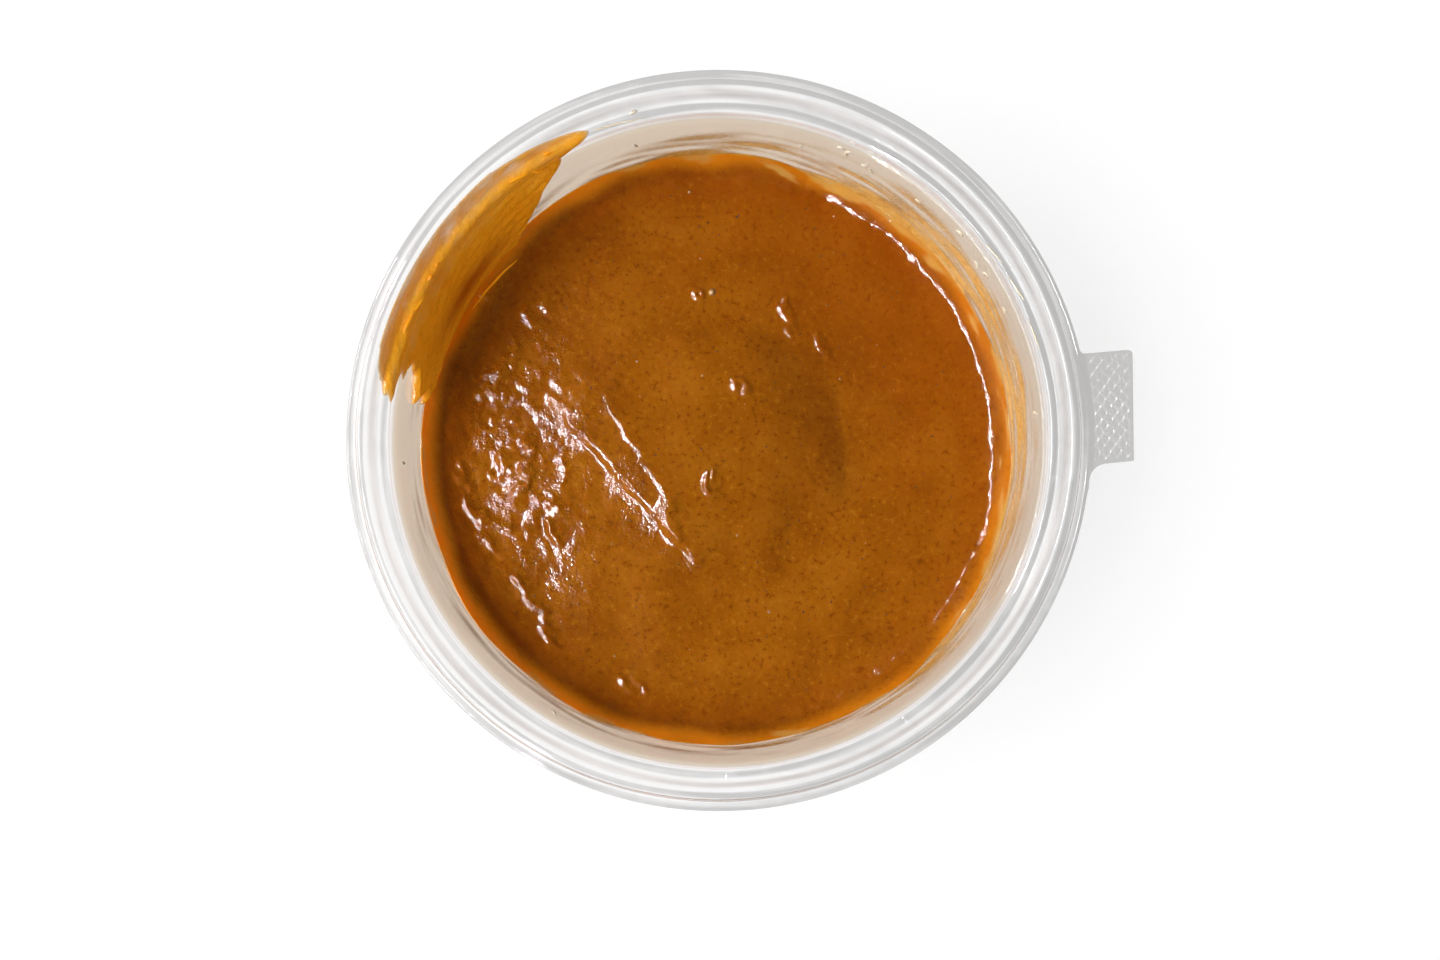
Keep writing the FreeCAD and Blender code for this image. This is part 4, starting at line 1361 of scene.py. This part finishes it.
def angle(name, description, degrees):
    """An angle, given in degrees."""
    return bpy.props.FloatProperty(
        name=name, description=description, default=math.radians(degrees), subtype="ANGLE"
    )


def number(name, description, default):
    """A plain number."""
    return bpy.props.FloatProperty(name=name, description=description, default=default)


def colour(name, description, default):
    """A colour."""
    return bpy.props.FloatVectorProperty(
        name=name, description=description, default=default, size=3, min=0.0, max=1.0, subtype="COLOR"
    )


def sauce_colours():
    """The colours and finish that every sauce material shares."""
    return {
        "base": colour("Sauce", "Main colour of the sauce", (0.38, 0.112, 0.003)),
        "pale": colour("Pale grain", "Colour of its paler swirls and grains", (0.52, 0.185, 0.009)),
        "dark": colour("Dark grain", "Colour of its darker swirls and grains", (0.22, 0.056, 0.002)),
        # Painted shade, in the hollow before the wall and on the smear.
        "deep": colour("Deep edge", "Colour in the hollow before the wall", (0.32, 0.062, 0.001)),
        # Amber where thin: partly the colour of thin sauce, partly painted light.
        "amber": colour("Thin edge", "Colour where the sauce is thin", (0.85, 0.26, 0.005)),
        "roughness": share_of_one("Roughness", "Roughness of the wet surface", 0.12),
        "bump": share_of_one("Bumps", "Strength of the finest bumps", 0.5),
    }


class TubSettings(bpy.types.PropertyGroup):
    """Sizes and colours of the clear tub."""

    __annotations__ = {
        "knurl_depth": length("Knurl depth", "Depth of the grooves on the pull tab", 0.14),
        "waver": length("Waver", "How far the formed wall wavers", 0.05),
        "tab_rows": amount("Tab rows", "Rows of faces from the lip out to the tab's tip", 60),
        # The tint and the clear tint are the two ends of the rim's painted light and shade.
        "tint": colour(
            "Tint", "Colour left in light that passes the greyest of the sheet", (0.43, 0.42, 0.415)
        ),
        "clear_tint": colour("Clear tint", "The same where the sheet is clearest", (0.99, 0.985, 0.98)),
        # The wall's tint is a painted reflection of the sauce.
        "wall_tint": colour("Wall tint", "The same for the wall, greased by the sauce", (0.56, 0.41, 0.27)),
        "roughness": share_of_one("Roughness", "Roughness of the sheet", 0.05),
    }


class SauceSettings(bpy.types.PropertyGroup):
    """Colours and fineness of the filling."""

    __annotations__ = {
        **sauce_colours(),
        "film": colour(
            "Film", "Colour of the sauce where it thins out to film at the wall", (0.62, 0.31, 0.06)
        ),
        # Painted light: an emission on the thin edge.
        "glow": share_of_one("Glow", "Light that comes through the thin edge from behind, as a share", 0.1),
        "rings": amount("Rings", "Rings of faces across the top", 150, 8),
        "columns": amount("Columns", "Columns of faces round the filling", 600, 16),
    }


class SmearSettings(bpy.types.PropertyGroup):
    """Size and colours of the smear up the wall."""

    __annotations__ = {
        **sauce_colours(),
        # The smear's colours are brighter copies of the sauce's: painted light for the lamp shining through
        # it from behind.
        "base": colour("Sauce", "Main colour of the smear, seen with light behind it", (0.95, 0.36, 0.008)),
        "pale": colour("Pale grain", "Colour of its paler swirls and grains", (1.0, 0.42, 0.02)),
        "dark": colour("Dark grain", "Colour of its darker swirls and grains", (0.70, 0.19, 0.003)),
        "amber": colour("Thin part", "Colour where the smear is thin", (0.92, 0.52, 0.09)),
        # Painted shade where the smear is thickest.
        "deep": colour(
            "Thick part", "Colour where the smear is thickest, low on the wall", (0.42, 0.085, 0.001)
        ),
        # Painted light: the smear glows as an emission.
        "glow": share_of_one("Glow", "Light that comes through the smear from behind, as a share", 0.16),
        "thickness": length("Thickness", "Greatest thickness of the smear", THICKEST),
        "cells_round": amount("Cells round", "Faces across its width", 260, 8),
        "cells_up": amount("Cells up", "Faces up the wall", 150, 8),
    }


class FilmSettings(bpy.types.PropertyGroup):
    """Colours and fineness of the film on the wall."""

    __annotations__ = {
        **sauce_colours(),
        "base": colour("Sauce", "Colour of the film where it is thickest", (0.76, 0.40, 0.08)),
        "pale": colour("Pale film", "Colour of the film where it is thinnest", (0.86, 0.62, 0.32)),
        "columns": amount("Columns", "Columns of faces round the wall", 900, 16),
        "rows": amount("Rows", "Rows of faces up the wall", 26, 4),
    }


class DripSettings(bpy.types.PropertyGroup):
    """Size and colours of the painted highlight ridges on the wall and of the drops of film."""

    __annotations__ = {
        "ridge": length("Ridge", "Half the thickness of a ridge", 0.26),
        "steps": amount("Steps", "Rings of faces along each bead", 24, 6),
        # These colours also make the painted highlights on the wall.
        "clear_colour": colour("Clear", "Colour of the clearest film", (0.97, 0.93, 0.86)),
        "cloudy_colour": colour("Cloudy", "Colour of the cloudiest film", (0.93, 0.74, 0.42)),
    }


class SpeckSettings(bpy.types.PropertyGroup):
    """Numbers and colours of the specks."""

    __annotations__ = {
        "dark_count": amount("Dark specks", "How many specks of spice lie on the sauce", 620),
        "pale_count": amount("Crumbs", "How many pale crumbs of almond lie on the sauce", 26),
        "dark_colour": colour("Darkest", "Colour of the darkest specks", (0.012, 0.005, 0.002)),
        "brown_colour": colour("Brown", "Colour of the browner specks", (0.09, 0.028, 0.004)),
        "crumb_colour": colour("Crumb", "Colour of the crumbs", (0.66, 0.42, 0.20)),
    }


class StageSettings(bpy.types.PropertyGroup):
    """Camera, lamps and floor."""

    __annotations__ = {
        "camera_distance": length("Camera distance", "From the middle of the rim", 450.0),
        "camera_lean": angle("Camera lean", "Angle from straight above", 5.8),
        "camera_drop": angle("Camera drop", "How far it looks above the rim's middle", 0.877),
        "lens": number("Lens", "Focal length in mm", 71.4),
        "key_azimuth": angle("Key azimuth", "Direction of the main lamp", 192.0),
        "key_elevation": angle("Key elevation", "Height of the main lamp", 47.0),
        "key_radiance": number("Key", "Brightness of the main lamp", 7.1),
        "strip_radiance": number("Strip", "Brightness of the thin lamp that wet things mirror", 420.0),
        "ambient": share_of_one("Ambient", "Soft light from all round", 0.13),
        "wall_level": share_of_one(
            "Mirrored walls", "How bright the room's walls look in shiny things", 0.05
        ),
        "ceiling_level": share_of_one("Mirrored ceiling", "How bright its ceiling looks in them", 0.02),
        "floor_size": length("Floor size", "Side of the floor", 6000.0),
        "floor_colour": share_of_one("Floor", "How pale the floor is", 0.25),
        "floor_glow": share_of_one("Floor glow", "Glow that keeps the floor white in direct view", 0.82),
    }


SETTINGS = {
    "sauce_tub_shell": TubSettings,
    "sauce_tub_sauce": SauceSettings,
    "sauce_tub_smear": SmearSettings,
    "sauce_tub_film": FilmSettings,
    "sauce_tub_drips": DripSettings,
    "sauce_tub_specks": SpeckSettings,
    "sauce_tub_stage": StageSettings,
}


# ---------------------------------------------------------------- operators and panel


class TUB_OT_stage(bpy.types.Operator):
    """Set up the camera, the lamps, the world and the floor"""

    bl_idname = "sauce_tub.stage"
    bl_label = "Stage"

    def execute(self, context):
        settings = context.scene.sauce_tub_stage
        context.scene.view_settings.view_transform = "Standard"
        make_camera(settings)
        make_floor(settings)
        set_world(settings)
        azimuth, elevation = settings.key_azimuth, settings.key_elevation
        softbox("key", azimuth, elevation, 1.1, (1.3, 0.5), settings.key_radiance, in_mirrors=False)
        softbox("strip", azimuth, elevation, 1.1, (1.6, 0.05), settings.strip_radiance, on_matt=False)
        softbox("wide", azimuth, math.radians(40.0), 1.3, (1.5, 0.5), 0.6)
        softbox("fill", math.radians(20.0), math.radians(55.0), 1.4, (1.4, 1.0), 0.3, in_mirrors=False)
        return {"FINISHED"}


class TUB_OT_shell(bpy.types.Operator):
    """Build the clear tub with its rim, ribs and knurled pull tab"""

    bl_idname = "sauce_tub.shell"
    bl_label = "Clear tub"

    def execute(self, context):
        make_shell(context.scene.sauce_tub_shell)
        return {"FINISHED"}


class TUB_OT_sauce(bpy.types.Operator):
    """Build the filling with its stirred top"""

    bl_idname = "sauce_tub.sauce"
    bl_label = "Sauce"

    def execute(self, context):
        make_sauce(context.scene.sauce_tub_sauce)
        return {"FINISHED"}


class TUB_OT_smear(bpy.types.Operator):
    """Build the tongue of sauce smeared up the wall and rim"""

    bl_idname = "sauce_tub.smear"
    bl_label = "Smear"

    def execute(self, context):
        make_smear(context.scene.sauce_tub_smear)
        return {"FINISHED"}


class TUB_OT_film(bpy.types.Operator):
    """Build the thin streaky film on the wall above the sauce"""

    bl_idname = "sauce_tub.film"
    bl_label = "Wall film"

    def execute(self, context):
        make_film(context.scene.sauce_tub_film)
        return {"FINISHED"}


class TUB_OT_drips(bpy.types.Operator):
    """Build the small ridges of painted highlight on the wall and the drops of film on the ledge"""

    bl_idname = "sauce_tub.drips"
    bl_label = "Drips"

    def execute(self, context):
        make_drips(context.scene.sauce_tub_drips)
        make_smear_beads(context.scene.sauce_tub_smear)
        return {"FINISHED"}


class TUB_OT_specks(bpy.types.Operator):
    """Scatter the dark specks of spice and the pale crumbs of almond"""

    bl_idname = "sauce_tub.specks"
    bl_label = "Specks"

    def execute(self, context):
        make_specks(context.scene.sauce_tub_specks)
        return {"FINISHED"}


OPERATORS = (
    TUB_OT_stage,
    TUB_OT_shell,
    TUB_OT_sauce,
    TUB_OT_smear,
    TUB_OT_film,
    TUB_OT_drips,
    TUB_OT_specks,
)


class TUB_PT_panel(bpy.types.Panel):
    """Lists the settings and the steps that build the tub"""

    bl_idname = "TUB_PT_panel"
    bl_label = "Sauce Tub"
    bl_space_type = "VIEW_3D"
    bl_region_type = "UI"
    bl_category = "Sauce Tub"

    def draw(self, context):
        for operator in OPERATORS:
            box = self.layout.box()
            settings = getattr(context.scene, operator.bl_idname.replace(".", "_"))
            for name in settings.bl_rna.properties.keys():
                if name not in ("rna_type", "name"):
                    box.prop(settings, name)
            box.operator(operator.bl_idname)


CLASSES = (*SETTINGS.values(), *OPERATORS, TUB_PT_panel)


def register():
    """Makes the settings, operators and panel known to Blender."""
    for item in CLASSES:
        bpy.utils.register_class(item)
    for name, group in SETTINGS.items():
        setattr(bpy.types.Scene, name, bpy.props.PointerProperty(type=group))


def unregister():
    """Takes them away again."""
    for name in SETTINGS:
        delattr(bpy.types.Scene, name)
    for item in reversed(CLASSES):
        bpy.utils.unregister_class(item)


def main():
    """Builds the stage and every piece in order."""
    register()
    bpy.ops.sauce_tub.stage()
    bpy.ops.sauce_tub.shell()
    bpy.ops.sauce_tub.sauce()
    bpy.ops.sauce_tub.smear()
    bpy.ops.sauce_tub.film()
    bpy.ops.sauce_tub.drips()
    bpy.ops.sauce_tub.specks()


if __name__ == "__main__":
    main()
